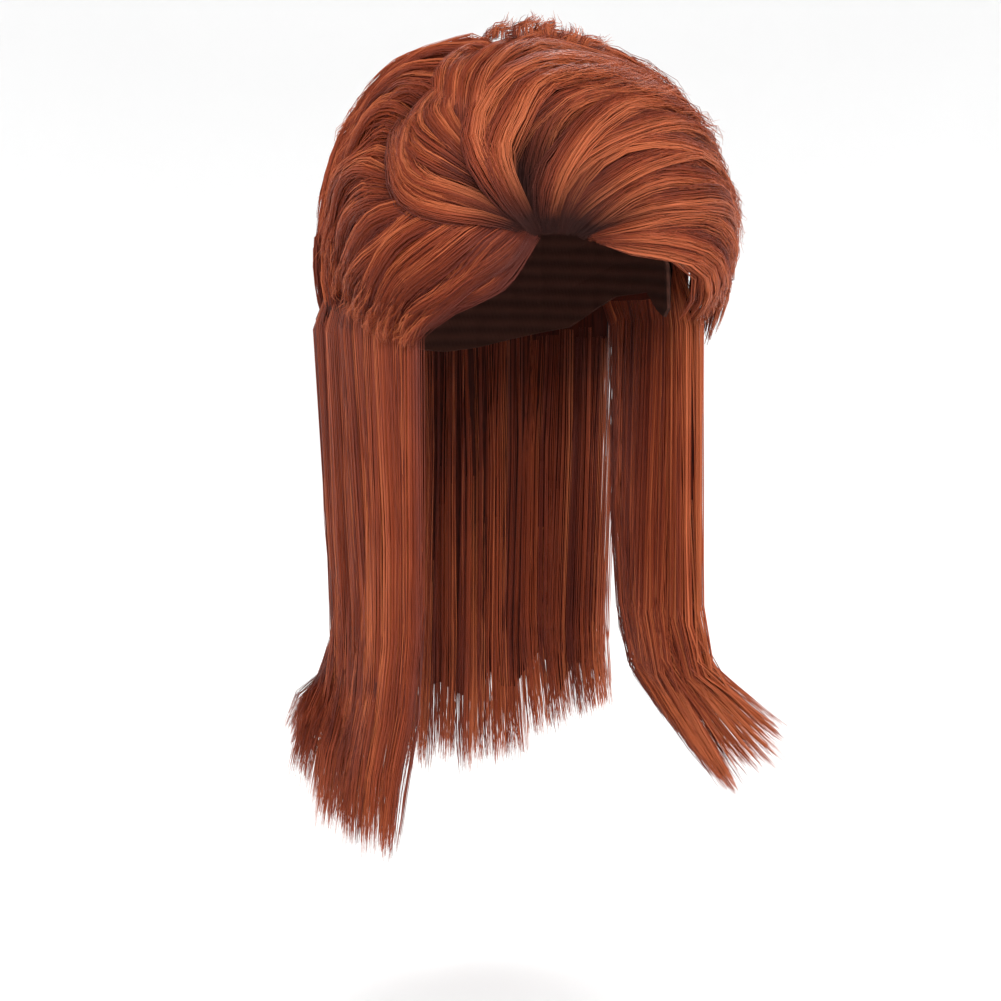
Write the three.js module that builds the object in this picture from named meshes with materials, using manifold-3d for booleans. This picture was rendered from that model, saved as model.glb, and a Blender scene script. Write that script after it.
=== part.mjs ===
// A mullet wig. Its short teased crown is swept up and back from the hairline, a sweep covers the right
// temple, a wing stands off the left one, and long straight lengths fall from under the crown.
// Millimetres, +Z up. The face looks along -Y, and the wearer's left is +X.
// The origin is the top of the cap's hollow, where it sits on the crown of the head.
// Angles are in degrees about the centre of the head: azimuth 0 is the front and 90 the wearer's left,
// and polar 0 is straight up. Rise is 0 on the cap and 1 on the outline of the crown hair.
import * as THREE from "three";
import { mergeVertices } from "three/addons/utils/BufferGeometryUtils.js";
import Module from "manifold-3d";

const wasm = await Module();
wasm.setup();

// The head that the cap fits
const HEAD_WIDTH = 150;
const HEAD_DEPTH = 188;
const BROW_DROP = 92; // from the top of the head down to its widest level
const NAPE_CURVE = 130; // half height of the curve below that level

// The cap, and the clearance between neighbouring pieces
const CAP_WALL = 1.6;
const CAP_CLEARANCE = 0.6;
const GAP = 0.4;

// Reach of the crown hair from the centre of the head, and its height above the top of the head
const CROWN_LEFT = 113;
const CROWN_RIGHT = 93;
const CROWN_FRONT = 110;
const CROWN_BACK = 115;
const CROWN_HEIGHT = 31;
const CROWN_SQUARENESS = 2.35; // 2 is a plain ellipsoid, and more is fuller at the shoulders

// The hair itself
const LOCK_WIDTH = 19;
const LOCK_DEPTH = 8;
const SWEEP_DEPTH = 9;
const WING_DEPTH = 10;
const LENGTH_DEPTH = 9;
const LENGTH_DROP = 377; // from the top of the head down to the longest tip
const LENGTH_REACH = 140; // from the middle to the outermost flared tip

const COPPER = 0x96422d;
const COPPER_DARK = 0x7a3423;
const CAP_BROWN = 0x3b211b;

// Front edge, ear tabs and nape of the cap, by azimuth, as polar angles
const CAP_RIM = [
  { azimuth: -180, polar: 114 },
  { azimuth: -140, polar: 109 },
  { azimuth: -110, polar: 97 },
  { azimuth: -90, polar: 95 },
  { azimuth: -72, polar: 104 },
  { azimuth: -58, polar: 100 },
  { azimuth: -40, polar: 80 },
  { azimuth: -20, polar: 73 },
  { azimuth: 0, polar: 72 },
  { azimuth: 20, polar: 73 },
  { azimuth: 40, polar: 80 },
  { azimuth: 58, polar: 100 },
  { azimuth: 72, polar: 104 },
  { azimuth: 90, polar: 95 },
  { azimuth: 110, polar: 97 },
  { azimuth: 140, polar: 109 },
  { azimuth: 180, polar: 114 },
];

// Lower edge of the crown hair. Swell is how far from the edge the hair takes to reach its full rise,
// and lift is how far the hair's underside stands off the cap there, as a rise.
const CROWN_HEM = [
  { azimuth: -180, polar: 102, swell: 8, lift: 0.5 },
  { azimuth: -120, polar: 98, swell: 8, lift: 0.5 },
  { azimuth: -92, polar: 93, swell: 8, lift: 0.5 },
  { azimuth: -70, polar: 86, swell: 10, lift: 0.2 },
  { azimuth: -45, polar: 78, swell: 14, lift: -0.2 },
  { azimuth: -18, polar: 73, swell: 20, lift: -0.2 },
  { azimuth: 0, polar: 72, swell: 22, lift: -0.2 },
  { azimuth: 14, polar: 73, swell: 20, lift: -0.2 },
  { azimuth: 32, polar: 78, swell: 14, lift: -0.2 },
  { azimuth: 60, polar: 88, swell: 10, lift: 0.3 },
  { azimuth: 92, polar: 98, swell: 8, lift: 0.45 },
  { azimuth: 120, polar: 99, swell: 8, lift: 0.5 },
  { azimuth: 180, polar: 102, swell: 8, lift: 0.5 },
];

// Locks of the crown, from root over belly to tip. Width is a share of LOCK_WIDTH.
const CROWN_LOCKS = [
  { root: [-12, 70], belly: [-31, 55], tip: [8, 38], width: 1.2 },
  { root: [-8, 70], belly: [-12, 52], tip: [38, 38], width: 1.0 },
  { root: [-4, 70], belly: [-3, 53], tip: [58, 44], width: 1.0 },
  { root: [0, 70], belly: [8, 57], tip: [56, 54], width: 1.0 },
  { root: [3, 70], belly: [18, 61], tip: [62, 64], width: 1.0 },
  { root: [7, 71], belly: [28, 67], tip: [68, 76], width: 1.0 },
  { root: [-14, 70], belly: [-40, 59], tip: [-54, 44], width: 1.1 },
  { root: [-24, 62], belly: [-44, 49], tip: [-24, 37], width: 1.0 },
  { root: [-16, 71], belly: [-44, 66], tip: [-78, 60], width: 1.0 },
  { root: [-17, 72], belly: [-50, 72], tip: [-90, 76], width: 1.0 },
  { root: [-24, 22], belly: [-62, 24], tip: [-88, 46], width: 1.2 },
  { root: [-38, 36], belly: [-66, 42], tip: [-90, 62], width: 1.1 },
  { root: [-56, 50], belly: [-76, 55], tip: [-94, 76], width: 1.0 },
  { root: [-60, 62], belly: [-78, 68], tip: [-98, 86], width: 1.0 },
  { root: [-54, 74], belly: [-72, 80], tip: [-92, 95], width: 1.0 },
  { root: [-14, 16], belly: [20, 22], tip: [54, 36], width: 1.1 },
  { root: [10, 8], belly: [62, 24], tip: [84, 48], width: 1.2 },
  { root: [50, 44], belly: [72, 52], tip: [94, 74], width: 1.1 },
  { root: [56, 60], belly: [76, 68], tip: [92, 92], width: 1.1 },
  { root: [60, 74], belly: [78, 84], tip: [88, 106], width: 1.0 },
];

// Short upright tips at the very top
const TUFT = [
  { azimuth: -32, polar: 9, lean: -10 },
  { azimuth: -10, polar: 14, lean: 2 },
  { azimuth: 22, polar: 12, lean: 12 },
];
const TUFT_HEIGHT = 7;

// Rings of layered locks that cover the back, each lock a copy turned round the head
const BACK_RINGS = [
  { first: 70, last: 290, count: 5, root: 3, belly: 17, tip: 34, width: 2.0 },
  { first: 106, last: 260, count: 6, root: 22, belly: 38, tip: 60, width: 1.8 },
  { first: 110, last: 258, count: 7, root: 44, belly: 61, tip: 83, width: 1.7 },
  { first: 104, last: 260, count: 9, root: 66, belly: 83, tip: 103, width: 1.4 },
];

// The sweep over the right temple and the wing off the left one: a lock sheet through these rows.
// Each station is [azimuth, polar, rise], from the parting at the hairline out to the tip.
const SWEEP_ROWS = [
  { stations: [[-15, 71, 0.3], [-30, 72, 0.85], [-56, 78, 1.04], [-78, 92, 1.0]] },
  { stations: [[-16, 73, 0.24], [-30, 76, 0.66], [-54, 84, 0.96], [-74, 101, 0.9]] },
  { stations: [[-16, 75, 0.18], [-28, 80, 0.5], [-50, 90, 0.78], [-68, 107, 0.72]] },
  { stations: [[-15, 77, 0.14], [-26, 85, 0.34], [-44, 95, 0.5], [-60, 110, 0.55]] },
];
const WING_ROWS = [
  { stations: [[9, 71, 0.3], [24, 70, 0.88], [46, 73, 1.02], [72, 86, 1.0]] },
  { stations: [[11, 73, 0.24], [24, 74, 0.74], [46, 79, 0.98], [72, 95, 0.92]] },
  { stations: [[12, 75, 0.18], [24, 79, 0.6], [44, 86, 0.88], [68, 104, 0.72]] },
];
const SWEEP_LOCKS = 5;
const WING_LOCKS = 4;

// The long lengths. The root is [azimuth, polar] on the cap. Ear, jaw, neck and tip are [across, forward]
// as shares of LENGTH_REACH, and the tip's third value is its drop as a share of LENGTH_DROP.
const EAR_LEVEL = 0.28; // these three are shares of LENGTH_DROP too
const JAW_LEVEL = 0.44;
const NECK_LEVEL = 0.72;
const RIGHT_ROWS = [
  { root: [-62, 82], ear: [-0.49, 0.34], jaw: [-0.475, 0.35], neck: [-0.49, 0.36], tip: [-0.61, 0.39, 0.97] },
  { root: [-78, 80], ear: [-0.6, 0.21], jaw: [-0.586, 0.23], neck: [-0.57, 0.24], tip: [-0.71, 0.37, 0.965] },
  { root: [-95, 78], ear: [-0.657, 0.04], jaw: [-0.636, 0.06], neck: [-0.607, 0.07], tip: [-0.8, 0.3, 0.94] },
  { root: [-112, 78], ear: [-0.66, -0.12], jaw: [-0.643, -0.14], neck: [-0.607, -0.14], tip: [-0.86, 0.16, 0.9] },
  { root: [-128, 79], ear: [-0.58, -0.3], jaw: [-0.57, -0.31], neck: [-0.54, -0.29], tip: [-0.84, 0.01, 0.85] },
];
const BACK_ROWS = [
  { root: [-136, 79], ear: [-0.55, -0.345], jaw: [-0.54, -0.355], neck: [-0.51, -0.35], tip: [-0.6, -0.44, 0.88] },
  { root: [-158, 80], ear: [-0.3, -0.6], jaw: [-0.3, -0.61], neck: [-0.29, -0.63], tip: [-0.34, -0.68, 0.94] },
  { root: [-180, 81], ear: [0, -0.66], jaw: [0, -0.67], neck: [0, -0.69], tip: [0, -0.73, 0.96] },
  { root: [-202, 80], ear: [0.3, -0.6], jaw: [0.3, -0.61], neck: [0.29, -0.63], tip: [0.34, -0.68, 0.94] },
  { root: [-224, 79], ear: [0.53, -0.36], jaw: [0.52, -0.355], neck: [0.5, -0.35], tip: [0.6, -0.44, 0.88] },
];
const LEFT_ROWS = [
  { root: [128, 79], ear: [0.56, -0.32], jaw: [0.54, -0.31], neck: [0.53, -0.13], tip: [0.63, 0.14, 0.86] },
  { root: [112, 78], ear: [0.62, -0.2], jaw: [0.6, -0.2], neck: [0.55, -0.08], tip: [0.71, 0.26, 0.915] },
  { root: [95, 78], ear: [0.657, -0.07], jaw: [0.643, -0.08], neck: [0.59, 0], tip: [0.78, 0.31, 0.93] },
  { root: [78, 80], ear: [0.657, 0.07], jaw: [0.657, 0.06], neck: [0.63, 0.11], tip: [0.9, 0.33, 0.9] },
  { root: [62, 83], ear: [0.63, 0.21], jaw: [0.636, 0.21], neck: [0.643, 0.23], tip: [0.957, 0.286, 0.867] },
];
const SIDE_LOCKS = 6;
const BACK_LOCKS = 8;

const AZIMUTH_STEPS = 32;
const CAP_STEPS = 8;
const CROWN_STEPS = 8;
const LOCK_STEPS = 5;
const TEMPLE_STEPS = 7;
const LENGTH_STEPS = 9;
const COLUMNS_PER_LOCK = 2;
const SLACK = 0.03; // how far a hair surface may move when needless corners are dropped

const radians = THREE.MathUtils.degToRad;
const lerp = THREE.MathUtils.lerp;
const headCentre = new THREE.Vector3(0, 0, -BROW_DROP);

function direction(azimuth, polar) {
  const a = radians(azimuth);
  const p = radians(polar);
  return new THREE.Vector3(Math.sin(p) * Math.sin(a), -Math.sin(p) * Math.cos(a), Math.cos(p));
}

// Distance from the centre of the head to the scalp, and to the outline of the crown hair
function headRadius(d) {
  const height = d.z > 0 ? BROW_DROP : NAPE_CURVE;
  return 1 / Math.hypot(d.x / (HEAD_WIDTH / 2), d.y / (HEAD_DEPTH / 2), d.z / height);
}

function crownRadius(d) {
  const across = d.x > 0 ? CROWN_LEFT : CROWN_RIGHT;
  const along = d.y < 0 ? CROWN_FRONT : CROWN_BACK;
  const height = d.z > 0 ? BROW_DROP + CROWN_HEIGHT : NAPE_CURVE;
  const level = Math.hypot(d.x / across, d.y / along) ** CROWN_SQUARENESS;
  return (level + Math.abs(d.z / height) ** CROWN_SQUARENESS) ** (-1 / CROWN_SQUARENESS);
}

function onHead(d, lift) {
  return headCentre.clone().addScaledVector(d, headRadius(d) + lift);
}

function onHair(d, rise) {
  const cap = headRadius(d) + CAP_WALL + CAP_CLEARANCE;
  return headCentre.clone().addScaledVector(d, lerp(cap, crownRadius(d), rise));
}

// The value of one column of a table whose rows go round the head, eased between its rows
function around(rows, column, azimuth) {
  const next = Math.max(1, rows.findIndex((row) => row.azimuth >= azimuth));
  const [low, high] = [rows[next - 1], rows[next]];
  const share = (azimuth - low.azimuth) / (high.azimuth - low.azimuth);
  return lerp(low[column], high[column], THREE.MathUtils.smoothstep(share, 0, 1));
}

// A closed solid from triangles of points, turned to face outwards
function solidFrom(triangles) {
  const kept = triangles.filter(([a, b, c]) => !a.equals(b) && !b.equals(c) && !c.equals(a));
  const volume = kept.reduce((sum, [a, b, c]) => sum + a.dot(b.clone().cross(c)), 0);
  const points = kept.flatMap(([a, b, c]) => (volume > 0 ? [a, b, c] : [a, c, b]));
  const merged = mergeVertices(new THREE.BufferGeometry().setFromPoints(points), 1e-3);
  return new wasm.Manifold(
    new wasm.Mesh({
      numProp: 3,
      vertProperties: merged.attributes.position.array,
      triVerts: new Uint32Array(merged.index.array),
    }),
  );
}

function quad(a, b, c, d) {
  return [[a, b, c], [a, c, d]];
}

// A wall between two grids of points that share their rows and columns, closed along its edges
function wall(outer, inner, wraps) {
  const faces = [];
  const rows = outer.length;
  const columns = outer[0].length;
  for (let i = 0; i + 1 < rows; i += 1) {
    for (let j = 0; j < (wraps ? columns : columns - 1); j += 1) {
      const k = (j + 1) % columns;
      faces.push(...quad(outer[i][j], outer[i + 1][j], outer[i + 1][k], outer[i][k]));
      faces.push(...quad(inner[i][j], inner[i][k], inner[i + 1][k], inner[i + 1][j]));
    }
    if (!wraps) {
      const last = columns - 1;
      faces.push(...quad(outer[i][0], inner[i][0], inner[i + 1][0], outer[i + 1][0]));
      faces.push(...quad(outer[i][last], outer[i + 1][last], inner[i + 1][last], inner[i][last]));
    }
  }
  for (let j = 0; j < (wraps ? columns : columns - 1); j += 1) {
    const k = (j + 1) % columns;
    const end = rows - 1;
    faces.push(...quad(outer[0][j], outer[0][k], inner[0][k], inner[0][j]));
    faces.push(...quad(outer[end][j], inner[end][j], inner[end][k], outer[end][k]));
  }
  return solidFrom(faces);
}

// A dome of two surfaces from the top of the head down to a hem
function dome(hemAt, outerAt, innerAt, polarSteps) {
  const outer = [];
  const inner = [];
  for (let i = 0; i <= polarSteps; i += 1) {
    outer.push([]);
    inner.push([]);
    for (let j = 0; j < AZIMUTH_STEPS; j += 1) {
      const azimuth = -180 + (360 * j) / AZIMUTH_STEPS;
      const polar = (hemAt(azimuth) * i) / polarSteps;
      const d = direction(azimuth, polar);
      outer[i].push(outerAt(d, azimuth, polar));
      inner[i].push(innerAt(d, azimuth, polar));
    }
  }
  return wall(outer, inner, true);
}

function capSolid() {
  const rim = (azimuth) => around(CAP_RIM, "polar", azimuth);
  return dome(rim, (d) => onHead(d, CAP_WALL), (d) => onHead(d, 0), CAP_STEPS);
}

// The space that the head and its cap take up, with the clearance round it
function headBlock() {
  const faces = [];
  const at = (i, j) => {
    const d = direction((360 * j) / AZIMUTH_STEPS, (180 * i) / (2 * CAP_STEPS));
    return onHead(d, CAP_WALL + CAP_CLEARANCE);
  };
  for (let i = 0; i < 2 * CAP_STEPS; i += 1) {
    for (let j = 0; j < AZIMUTH_STEPS; j += 1) {
      const k = (j + 1) % AZIMUTH_STEPS;
      faces.push(...quad(at(i, j), at(i + 1, j), at(i + 1, k), at(i, k)));
    }
  }
  return solidFrom(faces);
}

const CROWN_BODY_RISE = 0.84; // of the mass under the locks
const SUNK = -0.3; // a surface that the cut for the head takes away
const LOCK_ROOT_RISE = 0.3;
const LOCK_BELLY_RISE = 0.9;
const LOCK_TIP_RISE = 0.93;

function crownBody() {
  const hem = (azimuth) => around(CROWN_HEM, "polar", azimuth);
  const outer = (d, azimuth, polar) => {
    const inward = (hem(azimuth) - polar) / around(CROWN_HEM, "swell", azimuth);
    const full = Math.sin((Math.PI / 2) * Math.min(1, inward));
    const edge = Math.max(0.12, around(CROWN_HEM, "lift", azimuth) + 0.1);
    return onHair(d, lerp(edge, CROWN_BODY_RISE, full));
  };
  const inner = (d, azimuth, polar) => {
    const down = THREE.MathUtils.smoothstep(polar, hem(azimuth) - 26, hem(azimuth));
    return onHair(d, lerp(SUNK, around(CROWN_HEM, "lift", azimuth), down));
  };
  return dome(hem, outer, inner, CROWN_STEPS);
}

// A curve through three values at the start, middle and end
function through(a, b, c, t) {
  return a * (2 * t - 1) * (t - 1) + b * 4 * t * (1 - t) + c * t * (2 * t - 1);
}

function throughPoints(a, b, c, t) {
  return new THREE.Vector3(through(a.x, b.x, c.x, t), through(a.y, b.y, c.y, t), through(a.z, b.z, c.z, t));
}

// Section of a lock as [across, out]: rounded on the outside, with a keel sunk in the hair below
const LOCK_SECTION = [[1, 0], [0.45, 0.95], [-0.45, 0.95], [-1, 0], [0, -1]];
const LOCK_SIDES = LOCK_SECTION.length;

// A lock swept along centre(t), widest at its middle and drawn in at both ends
function sweptLock(centre, halfWidth, halfDepth) {
  const rings = [];
  for (let i = 0; i <= LOCK_STEPS; i += 1) {
    const t = i / LOCK_STEPS;
    const nudge = 0.02;
    const tangent = centre(Math.min(1, t + nudge)).sub(centre(Math.max(0, t - nudge))).normalize();
    const at = centre(t);
    const side = tangent.clone().cross(at.clone().sub(headCentre)).normalize();
    const up = side.clone().cross(tangent).normalize();
    const swell = 0.16 + 0.84 * Math.sin(Math.PI * lerp(0.14, 1, t)) ** 0.7;
    rings.push(
      LOCK_SECTION.map(([across, out]) =>
        at
          .clone()
          .addScaledVector(side, across * halfWidth * swell)
          .addScaledVector(up, out * halfDepth * swell),
      ),
    );
  }
  return solidFrom([...tubeFaces(rings), ...endFaces(rings[0], false), ...endFaces(rings.at(-1), true)]);
}

function tubeFaces(rings) {
  const faces = [];
  for (let i = 0; i + 1 < rings.length; i += 1) {
    for (let j = 0; j < LOCK_SIDES; j += 1) {
      const k = (j + 1) % LOCK_SIDES;
      faces.push(...quad(rings[i][j], rings[i + 1][j], rings[i + 1][k], rings[i][k]));
    }
  }
  return faces;
}

function endFaces(ring, flipped) {
  const fan = [];
  for (let j = 1; j + 1 < LOCK_SIDES; j += 1) {
    fan.push(flipped ? [ring[0], ring[j + 1], ring[j]] : [ring[0], ring[j], ring[j + 1]]);
  }
  return fan;
}

function crownLock({ root, belly, tip, width }) {
  const [from, over, to] = [root, belly, tip].map(([azimuth, polar]) => direction(azimuth, polar));
  const centre = (t) =>
    onHair(throughPoints(from, over, to, t).normalize(), through(LOCK_ROOT_RISE, LOCK_BELLY_RISE, LOCK_TIP_RISE, t));
  return sweptLock(centre, (width * LOCK_WIDTH) / 2, LOCK_DEPTH / 2);
}

function backLocks({ first, last, count, root, belly, tip, width }) {
  return Array.from({ length: count }, (_, i) => {
    const azimuth = lerp(first, last, i / (count - 1));
    const drop = i % 2 ? -4 : 2;
    return crownLock({ root: [azimuth, root], belly: [azimuth, belly], tip: [azimuth, tip + drop], width });
  });
}

function tuftLock({ azimuth, polar, lean }) {
  const foot = onHair(direction(azimuth, polar), CROWN_BODY_RISE - 0.2);
  const centre = (t) =>
    foot.clone().add(new THREE.Vector3(lean * t * t, -lean * 0.3 * t, (TUFT_HEIGHT + LOCK_DEPTH) * t));
  return sweptLock(centre, LOCK_WIDTH / 3, LOCK_DEPTH / 2);
}

// Evenly spaced shares from 0 to 1, but with the first and last moved outwards
function overrunning(index, last, by) {
  return index / last + (index === last ? by : 0) - (index === 0 ? by : 0);
}

// A sheet of locks side by side. Its rows run from root to tip, each lock is thick in its middle and thin
// at its edges, and the tips end in points of uneven length. Grown makes the same sheet larger all round.
function lockSheet({ rows, locks, steps, depth, rootDepth, stagger, grown }) {
  const stations = rows[0].length;
  const rails = Array.from({ length: stations }, (_, k) => new THREE.CatmullRomCurve3(rows.map((row) => row[k])));
  const columns = locks * COLUMNS_PER_LOCK;
  const outer = [];
  const inner = [];
  for (let i = 0; i <= steps; i += 1) {
    outer.push([]);
    inner.push([]);
  }
  const edge = grown / rails[1].getLength();
  const strand = (v) => new THREE.CatmullRomCurve3(rails.map((rail) => spread(rail, v)));
  for (let j = 0; j <= columns; j += 1) {
    const v = overrunning(j, columns, edge);
    const ridge = Math.sin((Math.PI * (j % COLUMNS_PER_LOCK)) / COLUMNS_PER_LOCK);
    const lock = Math.floor(j / COLUMNS_PER_LOCK);
    const end = 1 - stagger * (1 - ridge) - stagger * 0.5 * (lock % 2);
    const line = strand(v);
    const beside = [strand(v - 0.01), strand(v + 0.01)];
    const overrun = grown / line.getLength();
    for (let i = 0; i <= steps; i += 1) {
      const u = end * overrunning(i, steps, overrun);
      const at = spread(line, u);
      const along = spread(line, u + 0.01).sub(spread(line, u - 0.01));
      const across = spread(beside[1], u).sub(spread(beside[0], u));
      const out = across.cross(along).normalize();
      const full = Math.min(1, (i / steps) * 3);
      const thin = 1 - 0.8 * (i / steps) ** 3;
      const half = (lerp(rootDepth, depth, full) * thin * lerp(0.6, 1, ridge)) / 2 + grown;
      outer[i].push(at.clone().addScaledVector(out, half));
      inner[i].push(at.clone().addScaledVector(out, -half));
    }
  }
  return wall(outer, inner, false);
}

// A point of a curve, carried straight on past either end
function spread(curve, t) {
  const inside = THREE.MathUtils.clamp(t, 0, 1);
  const slope = curve.getPoint(Math.min(1, inside + 0.01)).sub(curve.getPoint(Math.max(0, inside - 0.01)));
  const run = Math.min(1, inside + 0.01) - Math.max(0, inside - 0.01);
  return curve.getPoint(inside).addScaledVector(slope, (t - inside) / run);
}

function templeSheet(rows, locks, depth, grown) {
  const placed = rows.map((row) => row.stations.map(([azimuth, polar, rise]) => onHair(direction(azimuth, polar), rise)));
  return lockSheet({ rows: placed, locks, steps: TEMPLE_STEPS, depth, rootDepth: depth / 2, stagger: 0.07, grown });
}

const LENGTH_ROOT_DEPTH = 5;

function lengthSheet(rows, locks, grown) {
  const hanging = (across, forward, down) =>
    new THREE.Vector3(across * LENGTH_REACH, -forward * LENGTH_REACH, -down * LENGTH_DROP);
  const placed = rows.map(({ root, ear, jaw, neck, tip }) => [
    onHead(direction(...root), CAP_WALL + CAP_CLEARANCE + LENGTH_ROOT_DEPTH / 2),
    hanging(...ear, EAR_LEVEL),
    hanging(...jaw, JAW_LEVEL),
    hanging(...neck, NECK_LEVEL),
    hanging(...tip),
  ]);
  return lockSheet({
    rows: placed,
    locks,
    steps: LENGTH_STEPS,
    depth: LENGTH_DEPTH,
    rootDepth: LENGTH_ROOT_DEPTH,
    stagger: 0.03,
    grown,
  });
}

// The largest of the pieces that a cut leaves
function mainBody(solid) {
  return solid.decompose().reduce((a, b) => (a.volume() > b.volume() ? a : b));
}

function mesh(name, solid, colour, roughness) {
  const { vertProperties, triVerts } = mainBody(solid).getMesh();
  const geometry = new THREE.BufferGeometry()
    .setAttribute("position", new THREE.BufferAttribute(new Float32Array(vertProperties), 3))
    .setIndex(new THREE.BufferAttribute(new Uint32Array(triVerts), 1));
  geometry.computeVertexNormals();
  const made = new THREE.Mesh(geometry, new THREE.MeshStandardMaterial({ color: colour, roughness, metalness: 0 }));
  made.name = name;
  return made;
}

const SHEETS = [
  { name: "right_sweep", make: (grown) => templeSheet(SWEEP_ROWS, SWEEP_LOCKS, SWEEP_DEPTH, grown) },
  { name: "left_wing", make: (grown) => templeSheet(WING_ROWS, WING_LOCKS, WING_DEPTH, grown) },
  { name: "right_lengths", make: (grown) => lengthSheet(RIGHT_ROWS, SIDE_LOCKS, grown) },
  { name: "back_lengths", make: (grown) => lengthSheet(BACK_ROWS, BACK_LOCKS, grown) },
  { name: "left_lengths", make: (grown) => lengthSheet(LEFT_ROWS, SIDE_LOCKS, grown) },
];

const wig = new THREE.Group();
wig.add(mesh("cap", capSolid(), CAP_BROWN, 0.9));

const head = headBlock();
let crown = [
  ...CROWN_LOCKS.map(crownLock),
  ...BACK_RINGS.flatMap(backLocks),
  ...TUFT.map(tuftLock),
].reduce((whole, lock) => whole.add(lock), crownBody());
crown = crown.subtract(head);
for (const { make } of SHEETS) {
  crown = crown.subtract(make(GAP));
}
wig.add(mesh("crown_hair", crown.simplify(SLACK), COPPER, 0.45));

let taken = head;
for (const { name, make } of SHEETS) {
  const colour = name.endsWith("lengths") ? COPPER_DARK : COPPER;
  wig.add(mesh(name, make(0).subtract(taken).simplify(SLACK), colour, 0.45));
  taken = taken.add(make(GAP));
}

export default wig;
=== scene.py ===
"""The looks of a copper red mullet wig: strands over a mass of hair painted dark as shade, a sewn cap and a
studio.

Lengths are in metres, +Z is up, the face looks along -Y and the wearer's left is +X. Angles are in degrees
about the centre of the head: azimuth 0 is the front and 90 the wearer's left, and polar 0 is straight up.
Rise is 0 on the cap and 1 on the outline of the crown hair.
"""

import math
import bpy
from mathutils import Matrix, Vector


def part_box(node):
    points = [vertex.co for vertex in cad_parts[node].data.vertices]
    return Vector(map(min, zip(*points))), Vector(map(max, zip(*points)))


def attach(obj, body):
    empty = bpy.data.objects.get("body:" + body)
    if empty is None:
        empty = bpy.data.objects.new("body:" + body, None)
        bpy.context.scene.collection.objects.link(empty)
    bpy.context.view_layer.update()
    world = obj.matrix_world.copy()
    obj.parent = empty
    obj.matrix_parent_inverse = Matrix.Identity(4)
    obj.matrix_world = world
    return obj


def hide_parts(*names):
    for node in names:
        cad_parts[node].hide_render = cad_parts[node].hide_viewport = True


bl_info = {
    "name": "Mullet wig",
    "version": (1, 0, 0),
    "blender": (4, 5, 0),
    "location": "3D View > Sidebar > Wig",
    "description": "Builds the hair, the cap and the studio of a copper red mullet wig",
    "category": "Object",
}

import bmesh
import bpy
import numpy as np
from bpy.props import FloatProperty, FloatVectorProperty, IntProperty, PointerProperty
from mathutils import Vector

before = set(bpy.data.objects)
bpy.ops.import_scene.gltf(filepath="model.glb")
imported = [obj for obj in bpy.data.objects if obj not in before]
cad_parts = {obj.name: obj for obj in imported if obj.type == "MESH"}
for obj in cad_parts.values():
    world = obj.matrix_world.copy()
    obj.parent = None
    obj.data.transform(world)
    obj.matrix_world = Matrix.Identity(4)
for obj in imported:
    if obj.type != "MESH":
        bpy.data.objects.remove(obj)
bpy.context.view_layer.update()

MM = 0.001
CAP_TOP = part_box("cap")[1]
LENGTH_DROP = -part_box("right_lengths")[0].z
LENGTH_REACH = 140 * MM

# The head under the cap, and the reach of the crown hair from the head's centre
BROW_DROP = 92 * MM
NAPE_CURVE = 130 * MM
CROWN_LEFT = 113 * MM
CROWN_RIGHT = 93 * MM
CROWN_FRONT = 110 * MM
CROWN_BACK = 115 * MM
CROWN_TOP = 123 * MM
CROWN_SQUARENESS = 2.35

# The crown hair's hem, as (azimuth, polar)
CROWN_HEM = [
    (-180, 102), (-120, 98), (-92, 93), (-70, 86), (-45, 78), (-18, 73), (0, 72), (14, 73), (32, 78),
    (60, 88), (92, 98), (120, 99), (180, 102),
]

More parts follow.
